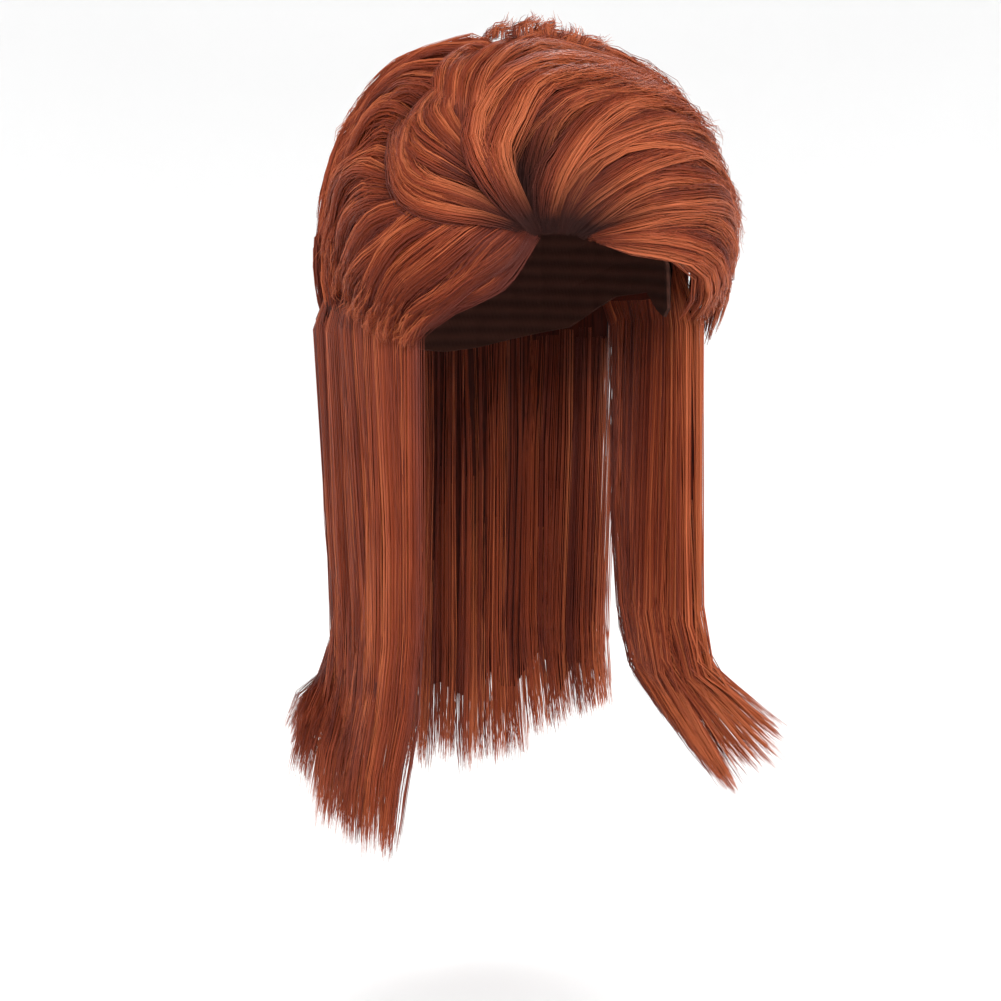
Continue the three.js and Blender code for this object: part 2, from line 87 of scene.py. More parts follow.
# Stations of one row are (azimuth, polar, rise), from root to tip. Rows run side by side over the hair.
LEFT_FAN = [
    [(-15, 75, 0.05), (-26, 67, 0.6), (-33, 59, 0.95), (-35, 51, 1.03), (-30, 42, 1.05),
     (-20, 34, 1.04), (0, 29, 1.03), (24, 33, 1.01), (42, 42, 0.97)],
    [(-14, 75, 0.05), (-20, 67, 0.5), (-24, 60, 0.82), (-26, 54, 0.97), (-23, 47, 1.02),
     (-17, 40, 1.03), (-4, 37, 1.02), (14, 39, 1.01), (36, 44, 0.98)],
    [(-13, 75, 0.05), (-18, 67, 0.16), (-21, 59, 0.26), (-20, 52, 0.42), (-15, 46, 0.72),
     (-4, 41, 0.93), (10, 40, 1), (26, 41, 1.01), (44, 45, 0.98)],
    [(-12, 75, 0.05), (-15, 67, 0.14), (-15, 60, 0.3), (-12, 54, 0.55), (-6, 48, 0.85),
     (4, 44, 0.97), (20, 42, 1.01), (36, 43, 1.01), (52, 47, 0.98)],
    [(-11, 75, 0.05), (-12, 68, 0.5), (-10, 60, 0.82), (-4, 53, 0.99), (6, 48, 1.03),
     (20, 45, 1.04), (36, 46, 1.02), (54, 50, 1), (70, 57, 0.97)],
    [(-9, 75, 0.05), (-10, 68, 0.5), (-6, 61, 0.76), (2, 55, 0.92), (14, 51, 0.98),
     (28, 50, 1.01), (44, 52, 1.02), (62, 57, 1), (78, 64, 0.96)],
    [(-7, 75, 0.05), (-6, 69, 0.38), (-1, 63, 0.6), (8, 58, 0.83), (20, 56, 0.97),
     (36, 56, 1.01), (54, 59, 1.02), (70, 65, 1), (82, 72, 0.96)],
    [(-5, 75, 0.05), (-1, 70, 0.4), (7, 65, 0.7), (18, 61, 0.94), (32, 60, 1.01),
     (46, 61, 1.03), (60, 66, 1.02), (74, 73, 1), (84, 80, 0.96)],
    [(-2, 75, 0.05), (5, 71, 0.5), (14, 67, 0.84), (26, 65, 1.01), (38, 65, 1.03),
     (52, 67, 1.02), (66, 73, 1), (78, 81, 0.95), (86, 89, 0.89)],
    [(0, 75, 0.05), (9, 72, 0.4), (20, 70, 0.72), (31, 70, 0.94), (42, 71, 1),
     (55, 75, 1.01), (68, 81, 0.97), (79, 89, 0.9), (86, 97, 0.82)],
]
WING = [
    [(1, 75, 0.05), (11, 72, 0.42), (24, 70, 0.8), (40, 71, 0.99),
     (56, 76, 1), (70, 84, 0.92), (83, 94, 0.78)],
    [(4, 76, 0.05), (14, 76, 0.34), (28, 78, 0.7), (42, 81, 0.92),
     (54, 87, 0.9), (67, 94, 0.76), (78, 103, 0.58)],
    [(7, 77, 0.05), (17, 79, 0.28), (30, 82, 0.6), (42, 85, 0.76),
     (53, 91, 0.7), (64, 98, 0.54), (72, 106, 0.38)],
]
ROLL = [
    [(-15, 75, 0.05), (-27, 72, 0.5), (-38, 71, 0.85), (-48, 69, 1), (-56, 65, 1.04),
     (-61, 59, 1.05), (-65, 52, 1.05), (-65, 45, 1.04), (-58, 40, 1)],
    [(-16, 74, 0.05), (-28, 70, 0.5), (-38, 68, 0.83), (-47, 66, 0.97), (-54, 62, 1.01),
     (-58, 56, 1.02), (-60, 50, 1.02), (-58, 45, 1.01), (-52, 41, 0.98)],
    [(-16, 72, 0.05), (-27, 66, 0.42), (-37, 63, 0.72), (-44, 61, 0.88), (-50, 58, 0.95),
     (-54, 54, 0.97), (-55, 49, 0.98), (-53, 46, 0.98), (-48, 43, 0.96)],
]
CURL = [
    [(-28, 64, 0.6), (-40, 60, 0.86), (-51, 56, 1), (-58, 52, 1.03),
     (-60, 47, 1.03), (-56, 42, 1.03), (-48, 40, 1)],
    [(-28, 60, 0.6), (-38, 56, 0.86), (-46, 52, 0.98), (-52, 47, 1.02),
     (-52, 42, 1.03), (-46, 37, 1.02), (-37, 34, 0.99)],
    [(-29, 56, 0.6), (-36, 52, 0.84), (-42, 47, 0.95), (-44, 43, 0.99),
     (-41, 39, 1), (-36, 37, 0.99), (-30, 37, 0.97)],
]
SWEEP = [
    [(-50, 64, 0.5), (-60, 69, 0.96), (-72, 74, 1.03), (-84, 82, 1.01), (-92, 92, 0.85)],
    [(-42, 66, 0.46), (-52, 72, 0.93), (-64, 79, 1.03), (-75, 88, 1.02), (-83, 97, 0.84)],
    [(-34, 68, 0.4), (-45, 75, 0.88), (-56, 84, 1.02), (-66, 93, 1.01), (-73, 102, 0.82)],
    [(-27, 70, 0.32), (-38, 77, 0.8), (-49, 87, 0.98), (-58, 96, 0.96), (-65, 104, 0.77)],
    [(-21, 72, 0.22), (-31, 80, 0.62), (-42, 90, 0.82), (-51, 98, 0.8), (-59, 106, 0.67)],
    [(-17, 74, 0.12), (-25, 83, 0.38), (-35, 92, 0.54), (-46, 99, 0.58), (-56, 107, 0.54)],
    [(-14, 75, 0.03), (-21, 83, 0.1), (-29, 90, 0.17), (-40, 97, 0.24), (-55, 107, 0.41)],
]
SPRAY = [
    [(-33, 53, 0.75), (-33, 47, 0.92), (-31, 41, 1), (-28, 34, 1.02), (-20, 27, 1.02), (-4, 22, 1)],
    [(-38, 50, 0.75), (-40, 44, 0.92), (-41, 38, 1), (-39, 32, 1.02), (-34, 26, 1.02), (-24, 20, 0.98)],
    [(-45, 47, 0.75), (-49, 42, 0.92), (-53, 36, 1), (-54, 30, 1.02), (-50, 23, 1.02), (-40, 16, 0.97)],
]
CASCADE = [
    [(-40, 12, 0.92), (-85, 14, 1), (-104, 26, 1.02), (-110, 40, 1.02), (-113, 54, 0.98)],
    [(-22, 24, 0.92), (-46, 20, 1), (-75, 24, 1.03), (-93, 36, 1.02), (-103, 50, 0.98)],
    [(-26, 32, 0.94), (-46, 28, 1.01), (-70, 30, 1.04), (-88, 40, 1.03), (-99, 56, 0.98)],
    [(-46, 39, 0.9), (-58, 36, 1), (-75, 37, 1.04), (-88, 46, 1.02), (-98, 62, 0.97)],
    [(-58, 41, 0.9), (-68, 41, 1), (-79, 46, 1.03), (-90, 56, 1.01), (-97, 69, 0.96)],
    [(-62, 50, 0.9), (-74, 50, 1), (-86, 55, 1.03), (-94, 65, 1.01), (-99, 77, 0.96)],
    [(-62, 57, 0.9), (-74, 57, 1), (-87, 62, 1.02), (-94, 71, 1), (-98, 83, 0.96)],
    [(-59, 62, 0.9), (-72, 62, 1), (-85, 68, 1.02), (-92, 77, 1), (-96, 89, 0.95)],
    [(-54, 67, 0.88), (-68, 68, 0.99), (-81, 75, 1.01), (-89, 84, 0.99), (-94, 95, 0.94)],
]
TOP = [
    [(-16, 36, 0.4), (4, 35, 0.78), (24, 38, 0.95), (42, 44, 1), (58, 53, 1), (70, 64, 0.96)],
    [(-24, 30, 0.8), (-4, 27, 0.93), (22, 29, 0.95), (44, 36, 0.96), (62, 46, 0.97), (76, 58, 0.96)],
    [(-32, 22, 0.84), (-5, 18, 0.96), (26, 20, 0.93), (50, 28, 0.93), (70, 40, 0.95), (84, 53, 0.97)],
    [(-50, 15, 0.84), (10, 9, 0.95), (50, 16, 0.9), (68, 27, 0.91), (82, 40, 0.95), (92, 54, 0.97)],
    [(-120, 10, 0.84), (120, 5, 0.93), (94, 17, 0.88), (92, 31, 0.9), (95, 44, 0.95), (99, 57, 0.97)],
]
TUFT = [
    [(-52, 14, 0.9), (-48, 13, 1), (-42, 11, 1.07), (-30, 9, 1.12)],
    [(-5, 14, 0.9), (-3, 13, 1.05), (2, 12, 1.17), (12, 10, 1.25)],
    [(14, 17, 0.9), (16, 16, 1.05), (22, 15, 1.15), (32, 13, 1.2)],
    [(32, 22, 0.9), (36, 22, 1), (44, 23, 1.07), (56, 24, 1.1)],
]

# The hair behind, as turns about the head: each ring fills the azimuths between its two ends.
BACK_RINGS = [
    {"between": (72, 285), "polar": (4, 18, 32, 48, 64), "rise": (0.78, 0.87, 0.94, 0.99, 0.96),
     "clumps": 46},
    {"between": (68, 274), "polar": (30, 46, 62, 77, 90), "rise": (0.8, 0.92, 0.98, 0.97, 0.91),
     "clumps": 52},
    {"between": (72, 268), "polar": (52, 68, 83, 96, 108), "rise": (0.76, 0.91, 0.96, 0.93, 0.82),
     "clumps": 60},
]

# The long lengths. The root is (azimuth, polar) on the cap. Ear, jaw, neck and tip are (across, forward) as
# shares of LENGTH_REACH, and the tip's third value is its drop as a share of LENGTH_DROP. Flare is how much
# of the way out from the neck to the tip is gone at FLARE_DROP of the way down, 0.5 where none is given.
EAR_LEVEL = 0.28
JAW_LEVEL = 0.44
NECK_LEVEL = 0.75
FLARE_DROP = 0.6
ROOT_LIFT = 3 * MM

# The neck's place along a row, and where the same point lies among the row's six stations
NECK_SHARE = 0.75
NECK_STATION = 3 / 5
RIGHT_LENGTHS = [
    {"root": (-62, 82), "ear": (-0.475, 0.33), "jaw": (-0.465, 0.34), "neck": (-0.475, 0.35),
     "tip": (-0.565, 0.36, 0.98), "flare": 0.72},
    {"root": (-78, 80), "ear": (-0.575, 0.2), "jaw": (-0.565, 0.215), "neck": (-0.55, 0.225),
     "tip": (-0.675, 0.34, 0.97), "flare": 0.72},
    {"root": (-95, 78), "ear": (-0.63, 0.04), "jaw": (-0.62, 0.055), "neck": (-0.585, 0.065),
     "tip": (-0.765, 0.28, 0.945), "flare": 0.72},
    {"root": (-112, 78), "ear": (-0.638, -0.11), "jaw": (-0.638, -0.13), "neck": (-0.592, -0.12),
     "tip": (-0.83, 0.15, 0.885), "flare": 0.72},
    {"root": (-128, 79), "ear": (-0.573, -0.28), "jaw": (-0.573, -0.29), "neck": (-0.537, -0.26),
     "tip": (-0.81, 0.01, 0.835), "flare": 0.72},
]
BACK_LENGTHS = [
    {"root": (-132, 79), "ear": (-0.56, -0.33), "jaw": (-0.55, -0.34), "neck": (-0.52, -0.34),
     "tip": (-0.6, -0.44, 0.88)},
    {"root": (-158, 82), "ear": (-0.3, -0.61), "jaw": (-0.3, -0.61), "neck": (-0.29, -0.63),
     "tip": (-0.34, -0.68, 0.94)},
    {"root": (-180, 84), "ear": (0, -0.69), "jaw": (0, -0.68), "neck": (0, -0.69), "tip": (0, -0.73, 0.96)},
    {"root": (-202, 82), "ear": (0.3, -0.61), "jaw": (0.3, -0.61), "neck": (0.29, -0.63),
     "tip": (0.34, -0.68, 0.94)},
    {"root": (-228, 79), "ear": (0.56, -0.35), "jaw": (0.55, -0.35), "neck": (0.52, -0.34),
     "tip": (0.6, -0.44, 0.88)},
]
LEFT_LENGTHS = [
    {"root": (130, 79), "ear": (0.57, -0.32), "jaw": (0.55, -0.31), "neck": (0.53, -0.13),
     "tip": (0.6, 0.13, 0.86)},
    {"root": (112, 78), "ear": (0.61, -0.2), "jaw": (0.595, -0.2), "neck": (0.545, -0.08),
     "tip": (0.68, 0.25, 0.915)},
    {"root": (95, 78), "ear": (0.63, -0.07), "jaw": (0.62, -0.07), "neck": (0.575, 0),
     "tip": (0.74, 0.29, 0.94)},
    {"root": (78, 80), "ear": (0.63, 0.065), "jaw": (0.635, 0.065), "neck": (0.615, 0.11),
     "tip": (0.86, 0.315, 0.91)},
    {"root": (62, 83), "ear": (0.61, 0.205), "jaw": (0.63, 0.21), "neck": (0.64, 0.23),
     "tip": (0.925, 0.3, 0.87)},
]

# The lights, as (name, place, size, power), and the point that they face
LIGHTS = [
    ("key_light", (-0.9, -2.0, 1.1), 0.9, 34),
    ("fill_light", (1.5, -1.6, 0.5), 1.2, 16),
    ("back_light", (0.6, 1.6, 1.5), 1.0, 22),
]
LIGHT_AIM = Vector((0, 0, -0.15))
AIR_LIGHT = 0.9

# The floor's outline from its middle outwards, as (reach, height above the floor)
FLOOR_OUTLINE = [(0, 0), (1.9, 0), (2.5, 0.06), (2.95, 0.4), (3.15, 1.0), (3.2, 2.2)]
FLOOR_TURNS = 64
FLOOR_RINGS = 40

# The photograph's camera: where the top of the head lies in its frame, and the scale there
PHOTO_SIZE = 1001
METRES_PER_PIXEL = 0.5 * MM
HEAD_COLUMN = 509
HEAD_ROW = 100
VIEW_AZIMUTH = -22
VIEW_ELEVATION = 6.5
VIEW_DISTANCE = 1.4
SENSOR_WIDTH = 36

# Points along each row of a sheet, rows across a sheet, and rows of a ring
CROWN_STEPS = 32
LENGTH_STEPS = 40
SHEET_ROWS = 97
RING_ROWS = 9

# The crown's dark dome: its share of the polar angle at the top, and its rise at some angles in from the hem
DOME_TURNS = 72
DOME_RINGS = 16
DOME_TOP = 0.04
DOME_RISE = ((0, 25, 50), (0.03, 0.18, 0.48))
DOME_INSIDE = 0.02

# The dark slabs: points across and along them, the edges that they leave free, and their uneven ends
SLAB_ROWS = 25
SLAB_STEPS = 31
SLAB_INSET = 0.03
SLAB_ENDS = (0.88, 1)
SLAB_ALONG = ((0, 0.6, 1), (1, 1, 0.15))
SLAB_ACROSS = ((0, 0.06, 0.94, 1), (0.4, 1, 1, 0.4))

# How locks differ in width and height, and how clumps differ in size and in their flick and curl
LOCK_WIDTHS = (0.5, 1.6)
LOCK_HEIGHTS = (-0.4, 0.4)
CLUMP_SIZES = (0.7, 1.3)
CLUMP_FLICKS = (0.3, 1)
CLUMP_CURLS = (0.4, 1)
LEAST_FLICK = 0.15

# How much of where a clump ends is set by its lock, and how much is its own
END_BY_LOCK = 0.7
END_OWN = 0.3

# How far the clumps of a lock fall out of step, in radians, and the billow's phase by the sway's
WAVE_SPREAD = 0.3
COIL_SPREAD = 1.8
BILLOW_PHASE = 2.1

# What sets a clump's tone: its place across the lock, which paints a highlight on the lock's ridge and shade
# in the valleys at its edges, its lock, and its own share
PAINTED_LIGHT_BY_RIDGE = 0.8
TONE_BY_LOCK = 0.25
TONE_OWN = 0.1

# How a lock rises between its edges, as the power of a sine and as shares of the relief
RIDGE_POWER = 0.7
RIDGE_DROP = 0.85
RIDGE_SPREAD = 0.6

# How relief and sway grow along a row, and where along a clump its width changes
SWELL = ((0, 0.12, 0.4, 1), (0.05, 0.4, 1, 0.8))
CLUMP_SWELL = (0, 0.2, 0.65, 1)

# Locks draw together and lean from these shares of a row on, and a dive at the root ends at this share
GATHER_START = 0.4
GATHER_POWER = 1.5
SLANT_START = 0.2
DIVE_END = 0.2

# The tubes of the strands: their sides, how much they thin to the tip, and how far they stray at the root
TUBE_SIDES = 3
TIP_THINNING = 0.75
ROOT_WIDTH = 0.3
ROOT_STRAY = 0.15
CURL_LENGTH = 22 * MM

# The patterns of the finishes: noise scales to a metre, the step of the cap's rows and its stitches round
DYE_SCALE = 28.0
STREAK_SCALE = 900.0
PATCH_SCALE = 40.0
KNIT_SCALE = 1400.0
STITCH_STEP = 7 * MM
STITCHES_ROUND = 260


class HairSizes(bpy.types.PropertyGroup):
    strand: FloatProperty(
        name="Strand", description="Radius of one strand", default=0.26 * MM, unit="LENGTH", precision=5
    )
    frizz: FloatProperty(
        name="Frizz", description="How far a strand strays from its lock", default=1.6 * MM, unit="LENGTH"
    )
    fullness: FloatProperty(
        name="Fullness", description="Share of the full number of strands", default=1.0, min=0.05, max=1.5
    )
    seed: IntProperty(name="Seed", description="Start of every random choice", default=11)


class HairColours(bpy.types.PropertyGroup):
    copper: FloatVectorProperty(
        name="Copper", description="Colour of most strands", subtype="COLOR", default=(0.42, 0.072, 0.02)
    )
    # The dark colour is reached by the darkest strands at random and by painted shade at the roots, between
    # locks and on lower layers.
    dark: FloatVectorProperty(
        name="Dark", description="Colour of the darkest strands and of the roots", subtype="COLOR",
        default=(0.13, 0.017, 0.007),
    )
    # The glint colour is reached by the lightest strands at random, and by the painted highlights on lock
    # ridges and the painted light at the tips.
    glint: FloatVectorProperty(
        name="Glint", description="Colour of the lightest strands and of the tips", subtype="COLOR",
        default=(0.6, 0.165, 0.06),
    )
    cap: FloatVectorProperty(
        name="Cap", description="Colour of the sewn cap", subtype="COLOR", default=(0.07, 0.024, 0.016)
    )


class StudioLook(bpy.types.PropertyGroup):
    floor_drop: FloatProperty(
        name="Floor drop", description="From the top of the head down to the floor", default=0.445,
        unit="LENGTH",
    )
    paper: FloatVectorProperty(
        name="Paper", description="Colour of the floor and backdrop", subtype="COLOR",
        default=(0.86, 0.86, 0.86),
    )


# Forms of the head and of the hair over it


def direction(azimuth, polar):
    a, p = np.radians(azimuth), np.radians(polar)
    return np.stack([np.sin(p) * np.sin(a), -np.sin(p) * np.cos(a), np.cos(p)], -1)


HEAD_CENTRE = np.array([0, 0, -BROW_DROP])


def cap_radius(d):
    """Distance from the head's centre to the outside of the cap."""
    height = np.where(d[..., 2] > 0, BROW_DROP + CAP_TOP.z, NAPE_CURVE)
    x, y, z = d[..., 0] / CAP_TOP.x, d[..., 1] / CAP_TOP.y, d[..., 2] / height
    return 1 / np.sqrt(x**2 + y**2 + z**2)


def crown_radius(d):
    """Distance from the head's centre to the outline of the crown hair."""
    across = np.where(d[..., 0] > 0, CROWN_LEFT, CROWN_RIGHT)
    along = np.where(d[..., 1] < 0, CROWN_FRONT, CROWN_BACK)
    height = np.where(d[..., 2] > 0, CROWN_TOP, NAPE_CURVE)
    n = CROWN_SQUARENESS
    level = np.hypot(d[..., 0] / across, d[..., 1] / along) ** n
    return (level + np.abs(d[..., 2] / height) ** n) ** (-1 / n)


def on_hair(stations):
    """Points for an array of (azimuth, polar, rise)."""
    stations = np.asarray(stations, float)
    d = direction(stations[..., 0], stations[..., 1])
    low = cap_radius(d)
    reach = low + (crown_radius(d) - low) * stations[..., 2]
    return HEAD_CENTRE + d * reach[..., None]


def buried(points):
    """How deep points lie below the crown's outline: 0 on it and 1 on the cap."""
    ray = points - HEAD_CENTRE
    reach = np.linalg.norm(ray, axis=-1)
    d = ray / reach[..., None]
    low, high = cap_radius(d), crown_radius(d)
    return np.clip((high - reach) / (high - low), 0, 1)


def outwards(points):
    """Unit vectors away from the middle of the head and of the neck below it."""
    middle = np.zeros_like(points)
    middle[..., 2] = np.minimum(points[..., 2], HEAD_CENTRE[2])
    away = points - middle
    return away / np.linalg.norm(away, axis=-1, keepdims=True)


def spline(points, shares):
    """A smooth curve through points, along their first axis, at shares from 0 to 1."""
    last = len(points) - 1
    place = np.clip(shares, 0, 1) * last
    i = np.minimum(place.astype(int), last - 1)
    f = (place - i).reshape((-1,) + (1,) * (points.ndim - 1))
    a, b, c, d = points[np.maximum(i - 1, 0)], points[i], points[i + 1], points[np.minimum(i + 2, last)]
    return 0.5 * (2 * b + (c - a) * f + (2 * a - 5 * b + 4 * c - d) * f**2 + (3 * b - a - 3 * c + d) * f**3)


def crown_rows(rows):
    """Smooth rows of points through stations on the crown."""
    return np.stack([spline(on_hair(row), np.linspace(0, 1, CROWN_STEPS)) for row in rows])


def ring_rows(ring):
    """Smooth rows of points down the hair behind, side by side about the head."""
    azimuths = np.linspace(*ring["between"], RING_ROWS)
    return crown_rows([[(a, p, r) for p, r in zip(ring["polar"], ring["rise"])] for a in azimuths])


def length_rows(rows):
    """Smooth rows of points down the long lengths, from the cap to the tips."""
    shares = np.interp(np.linspace(0, 1, LENGTH_STEPS), (0, NECK_SHARE, 1), (0, NECK_STATION, 1))
    made = []
    for row in rows:
        root = direction(*row["root"])
        start = HEAD_CENTRE + root * (cap_radius(root) + ROOT_LIFT)
        neck, tip = np.array((*row["neck"], NECK_LEVEL)), np.array(row["tip"])
        out = row.get("flare", 0.5)
        flare = neck + (tip - neck) * (out, out, FLARE_DROP)
        stations = np.array([(*row["ear"], EAR_LEVEL), (*row["jaw"], JAW_LEVEL), neck, flare, tip])
        fall = stations * (LENGTH_REACH, -LENGTH_REACH, -LENGTH_DROP)
        made.append(spline(np.array([start, *fall]), shares))
    return np.stack(made)


# Strands along guide lines


# The style of one layer of clumps. Lengths are in metres, and start and stop are shares of a row. Pace is
# the share of the steps, and the share of the way, at which the spacing of a clump's steps changes.
LAYER = {
    "steps": 10,
    "pace": (0.5, 0.5),
    "clumps": 40,
    "strands": 16,
    "thick": 1.0,
    # Painted shade on strands that lie deep below the crown's outline, which also roughens them
    "buried_shade": 1.0,
    "start": (0, 0.03),
    "stop": (0.9, 1.0),
    "lift": (-3 * MM, 0),
    "dive": 0,
    "relief": 5 * MM,
    "gather": 0.4,
    "breadth": 3 * MM,
    "depth": 2 * MM,
    "root_share": 0.5,
    "tip_share": 0.35,
    "slant": 0.03,
    "sway": 1.5 * MM,
    "billow": 1 * MM,
    "waves": 1.3,
    # Painted shade: a darkening of the whole layer where it lies under other hair or turned away from the
    # light
    "shade": 0,
    "flick": 0,
    "curl": 0,
    "coil": 10 * MM,
}


class Sheet:
    """Hair that runs from root to tip over rows of stations, parted into locks."""

    def __init__(self, rows, locks, seed):
        self.grid = spline(rows, np.linspace(0, 1, SHEET_ROWS))
        self.locks = locks
        rng = np.random.default_rng(seed)
        self.edges = np.concatenate([[0], np.cumsum(rng.uniform(*LOCK_WIDTHS, locks))])
        self.edges /= self.edges[-1]
        self.height = rng.uniform(*LOCK_HEIGHTS, locks)
        self.tone = rng.uniform(-1, 1, locks)
        self.phase = rng.uniform(0, 2 * np.pi, locks)
        self.short = rng.uniform(0, 1, locks)
        self.slant = rng.uniform(-1, 1, locks)

    def at(self, across, along):
        """Points at shares across and along the sheet; a share along may pass 1 a little."""
        rows, steps = self.grid.shape[:2]
        a = np.clip(across, 0, 1) * (rows - 1)
        b = np.clip(along, 0, 1.1) * (steps - 1)
        i, j = np.minimum(a.astype(int), rows - 2), np.minimum(b.astype(int), steps - 2)
        f, g = (a - i)[..., None], (b - j)[..., None]
        near = self.grid[i, j] * (1 - g) + self.grid[i, j + 1] * g
        far = self.grid[i + 1, j] * (1 - g) + self.grid[i + 1, j + 1] * g
        return near * (1 - f) + far * f

    def layer(self, rng, **style):
        """Centre lines of a layer of clumps, with the frame, size and tone of each."""
        style = {**LAYER, **style}
        count, steps = style["clumps"], style["steps"]
        v = (np.arange(count) + rng.uniform(0.1, 0.9, count)) / count
        lock = np.clip(np.searchsorted(self.edges, v) - 1, 0, self.locks - 1)
        left, right = self.edges[lock], self.edges[lock + 1]
        place = (v - left) / (right - left)
        step = np.interp(np.linspace(0, 1, steps), (0, style["pace"][0], 1), (0, style["pace"][1], 1))
        start = rng.uniform(*style["start"], count)
        first, last = style["stop"]
        stop = last + (first - last) * (END_BY_LOCK * self.short[lock] + END_OWN * rng.uniform(0, 1, count))
        u = start[:, None] + (stop - start)[:, None] * step
        middle = ((left + right) / 2)[:, None]
        drawn = np.clip((u - GATHER_START) / (1 - GATHER_START), 0, 1) ** GATHER_POWER * style["gather"]
        slant = (self.slant[lock] * style["slant"])[:, None] * np.clip(u - SLANT_START, 0, 1)
        points = self.at(middle + (v[:, None] - middle) * (1 - drawn) + slant, u)
        out = outwards(points)
        side = np.cross(np.gradient(points, axis=1), out)
        side /= np.linalg.norm(side, axis=-1, keepdims=True) + 1e-12
        ridge = np.sin(np.pi * place) ** RIDGE_POWER
        swell = np.interp(u, *SWELL)
        lift = style["relief"] * (ridge - RIDGE_DROP + RIDGE_SPREAD * self.height[lock])[:, None] * swell
        lift += rng.uniform(*style["lift"], count)[:, None] * np.interp(u, [0, 0.15], [0.3, 1])
        flick = LEAST_FLICK + (1 - LEAST_FLICK) * self.short[lock] * rng.uniform(*CLUMP_FLICKS, count)
        lift += style["flick"] * flick[:, None] * step**2
        lift -= style["dive"] * np.clip(1 - step / DIVE_END, 0, 1)
        phase = self.phase[lock] + rng.uniform(-WAVE_SPREAD, WAVE_SPREAD, count)
        wave = 2 * np.pi * style["waves"] * u
        swing = style["sway"] * np.sin(wave + phase[:, None]) * swell
        lift += style["billow"] * np.sin(wave + BILLOW_PHASE * phase[:, None]) * swell
        length = np.linalg.norm(points[:, -1] - points[:, 0], axis=-1)[:, None]
        turn = 2 * np.pi * length * step / style["coil"] + self.phase[lock, None]
        turn += rng.uniform(-COIL_SPREAD, COIL_SPREAD, count)[:, None]
        coil = style["curl"] * rng.uniform(*CLUMP_CURLS, count)[:, None] * step
        points = points + out * (lift + coil * np.sin(turn))[..., None]
        points = points + side * (swing + coil * np.cos(turn))[..., None]
        profile = np.interp(step, CLUMP_SWELL, (style["root_share"], 1, 1, style["tip_share"]))
        size = rng.uniform(*CLUMP_SIZES, count)[:, None] * profile
        # Painted highlight on the ridge of each lock and painted shade in the valleys at its edges, a random
        # tone for each lock and clump, and the layer's painted shade
        tone = PAINTED_LIGHT_BY_RIDGE * (2 * ridge**2 - 1) + TONE_BY_LOCK * self.tone[lock] + style["shade"]
        tone += TONE_OWN * rng.uniform(-1, 1, count)
        return {
            "points": points,
            "out": out,
            "side": side,
            "breadth": style["breadth"] * size,
            "depth": style["depth"] * size,
            "tone": np.repeat(tone[:, None], steps, 1),
            "share": u,
            "buried_shade": style["buried_shade"] * buried(points),
            "strands": np.full(u.shape, style["strands"], float),
            "thick": np.full(u.shape, style["thick"], float),
        }


def guide_object(name, layers):
    """A mesh of loose lines, one for each clump of the layers."""
    lines = [layer["points"].shape[:2] for layer in layers]
    edges, first = [], 0
    for count, steps in lines:
        numbers = first + np.arange(count * steps).reshape(count, steps)
        edges.append(np.stack([numbers[:, :-1].ravel(), numbers[:, 1:].ravel()], 1))
        first += count * steps
    points = np.concatenate([layer["points"].reshape(-1, 3) for layer in layers])
    mesh = bpy.data.meshes.new(name)
    mesh.from_pydata(points.tolist(), np.concatenate(edges).tolist(), [])
    for key in ("out", "side"):
        values = np.concatenate([layer[key].ravel() for layer in layers])
        mesh.attributes.new(key, "FLOAT_VECTOR", "POINT").data.foreach_set("vector", values)
    for key in ("breadth", "depth", "tone", "share", "buried_shade", "strands", "thick"):
        values = np.concatenate([layer[key].ravel() for layer in layers])
        mesh.attributes.new(key, "FLOAT", "POINT").data.foreach_set("value", values)
    made = bpy.data.objects.new(name, mesh)
    bpy.context.scene.collection.objects.link(made)
    return made


class Sock:
    """An output socket that takes part in Python sums."""

    def __init__(self, graph, socket):
        self.graph = graph
        self.socket = socket

    def sum(self, operation, other):
        sockets = [value.socket.type for value in (self, other) if isinstance(value, Sock)]
        if isinstance(other, tuple) or "VECTOR" in sockets or "RGBA" in sockets:
            other = (other, other, other) if isinstance(other, (int, float)) else other
            return self.graph.add("ShaderNodeVectorMath", {"operation": operation}, {0: self, 1: other})
        return self.graph.add("ShaderNodeMath", {"operation": operation}, {0: self, 1: other})

    def __add__(self, other):
        return self.sum("ADD", other)

    def __sub__(self, other):
        return self.sum("SUBTRACT", other)

    def __rsub__(self, other):
        return self.graph.add("ShaderNodeMath", {"operation": "SUBTRACT"}, {0: other, 1: self})

    def __mul__(self, other):
        return self.sum("MULTIPLY", other)

    def __truediv__(self, other):
        return self.sum("DIVIDE", other)

    def __pow__(self, other):
        return self.sum("POWER", other)

    __radd__ = __add__
    __rmul__ = __mul__

    def clamped(self):
        return self.graph.add("ShaderNodeClamp", {}, {0: self})


class Graph:
    """Adds nodes to a tree."""

    def __init__(self, tree):
        self.tree = tree

    def add(self, kind, settings, inputs, output=0):
        node = self.tree.nodes.new(kind)
        for key, value in settings.items():
            setattr(node, key, value)
        for key, value in inputs.items():
            socket = node.inputs[key]
            if isinstance(value, Sock):
                self.tree.links.new(value.socket, socket)
            else:
                socket.default_value = value
        return Sock(self, node.outputs[output])

    def named(self, kind, name):
        """A named attribute in a Geometry Nodes tree."""
        return self.add("GeometryNodeInputNamedAttribute", {"data_type": kind}, {"Name": name})

    def attribute(self, name, output="Fac"):
        """A mesh attribute in a material."""
        return self.add("ShaderNodeAttribute", {"attribute_name": name}, {}, output)

    def mix(self, share, a, b):
        """A colour between a and b."""
        return self.add("ShaderNodeMix", {"data_type": "RGBA"}, {0: share, 6: a, 7: b}, 2)

    def parts(self, vector):
        node = self.add("ShaderNodeSeparateXYZ", {}, {0: vector}).socket.node
        return [Sock(self, node.outputs[axis]) for axis in "XYZ"]


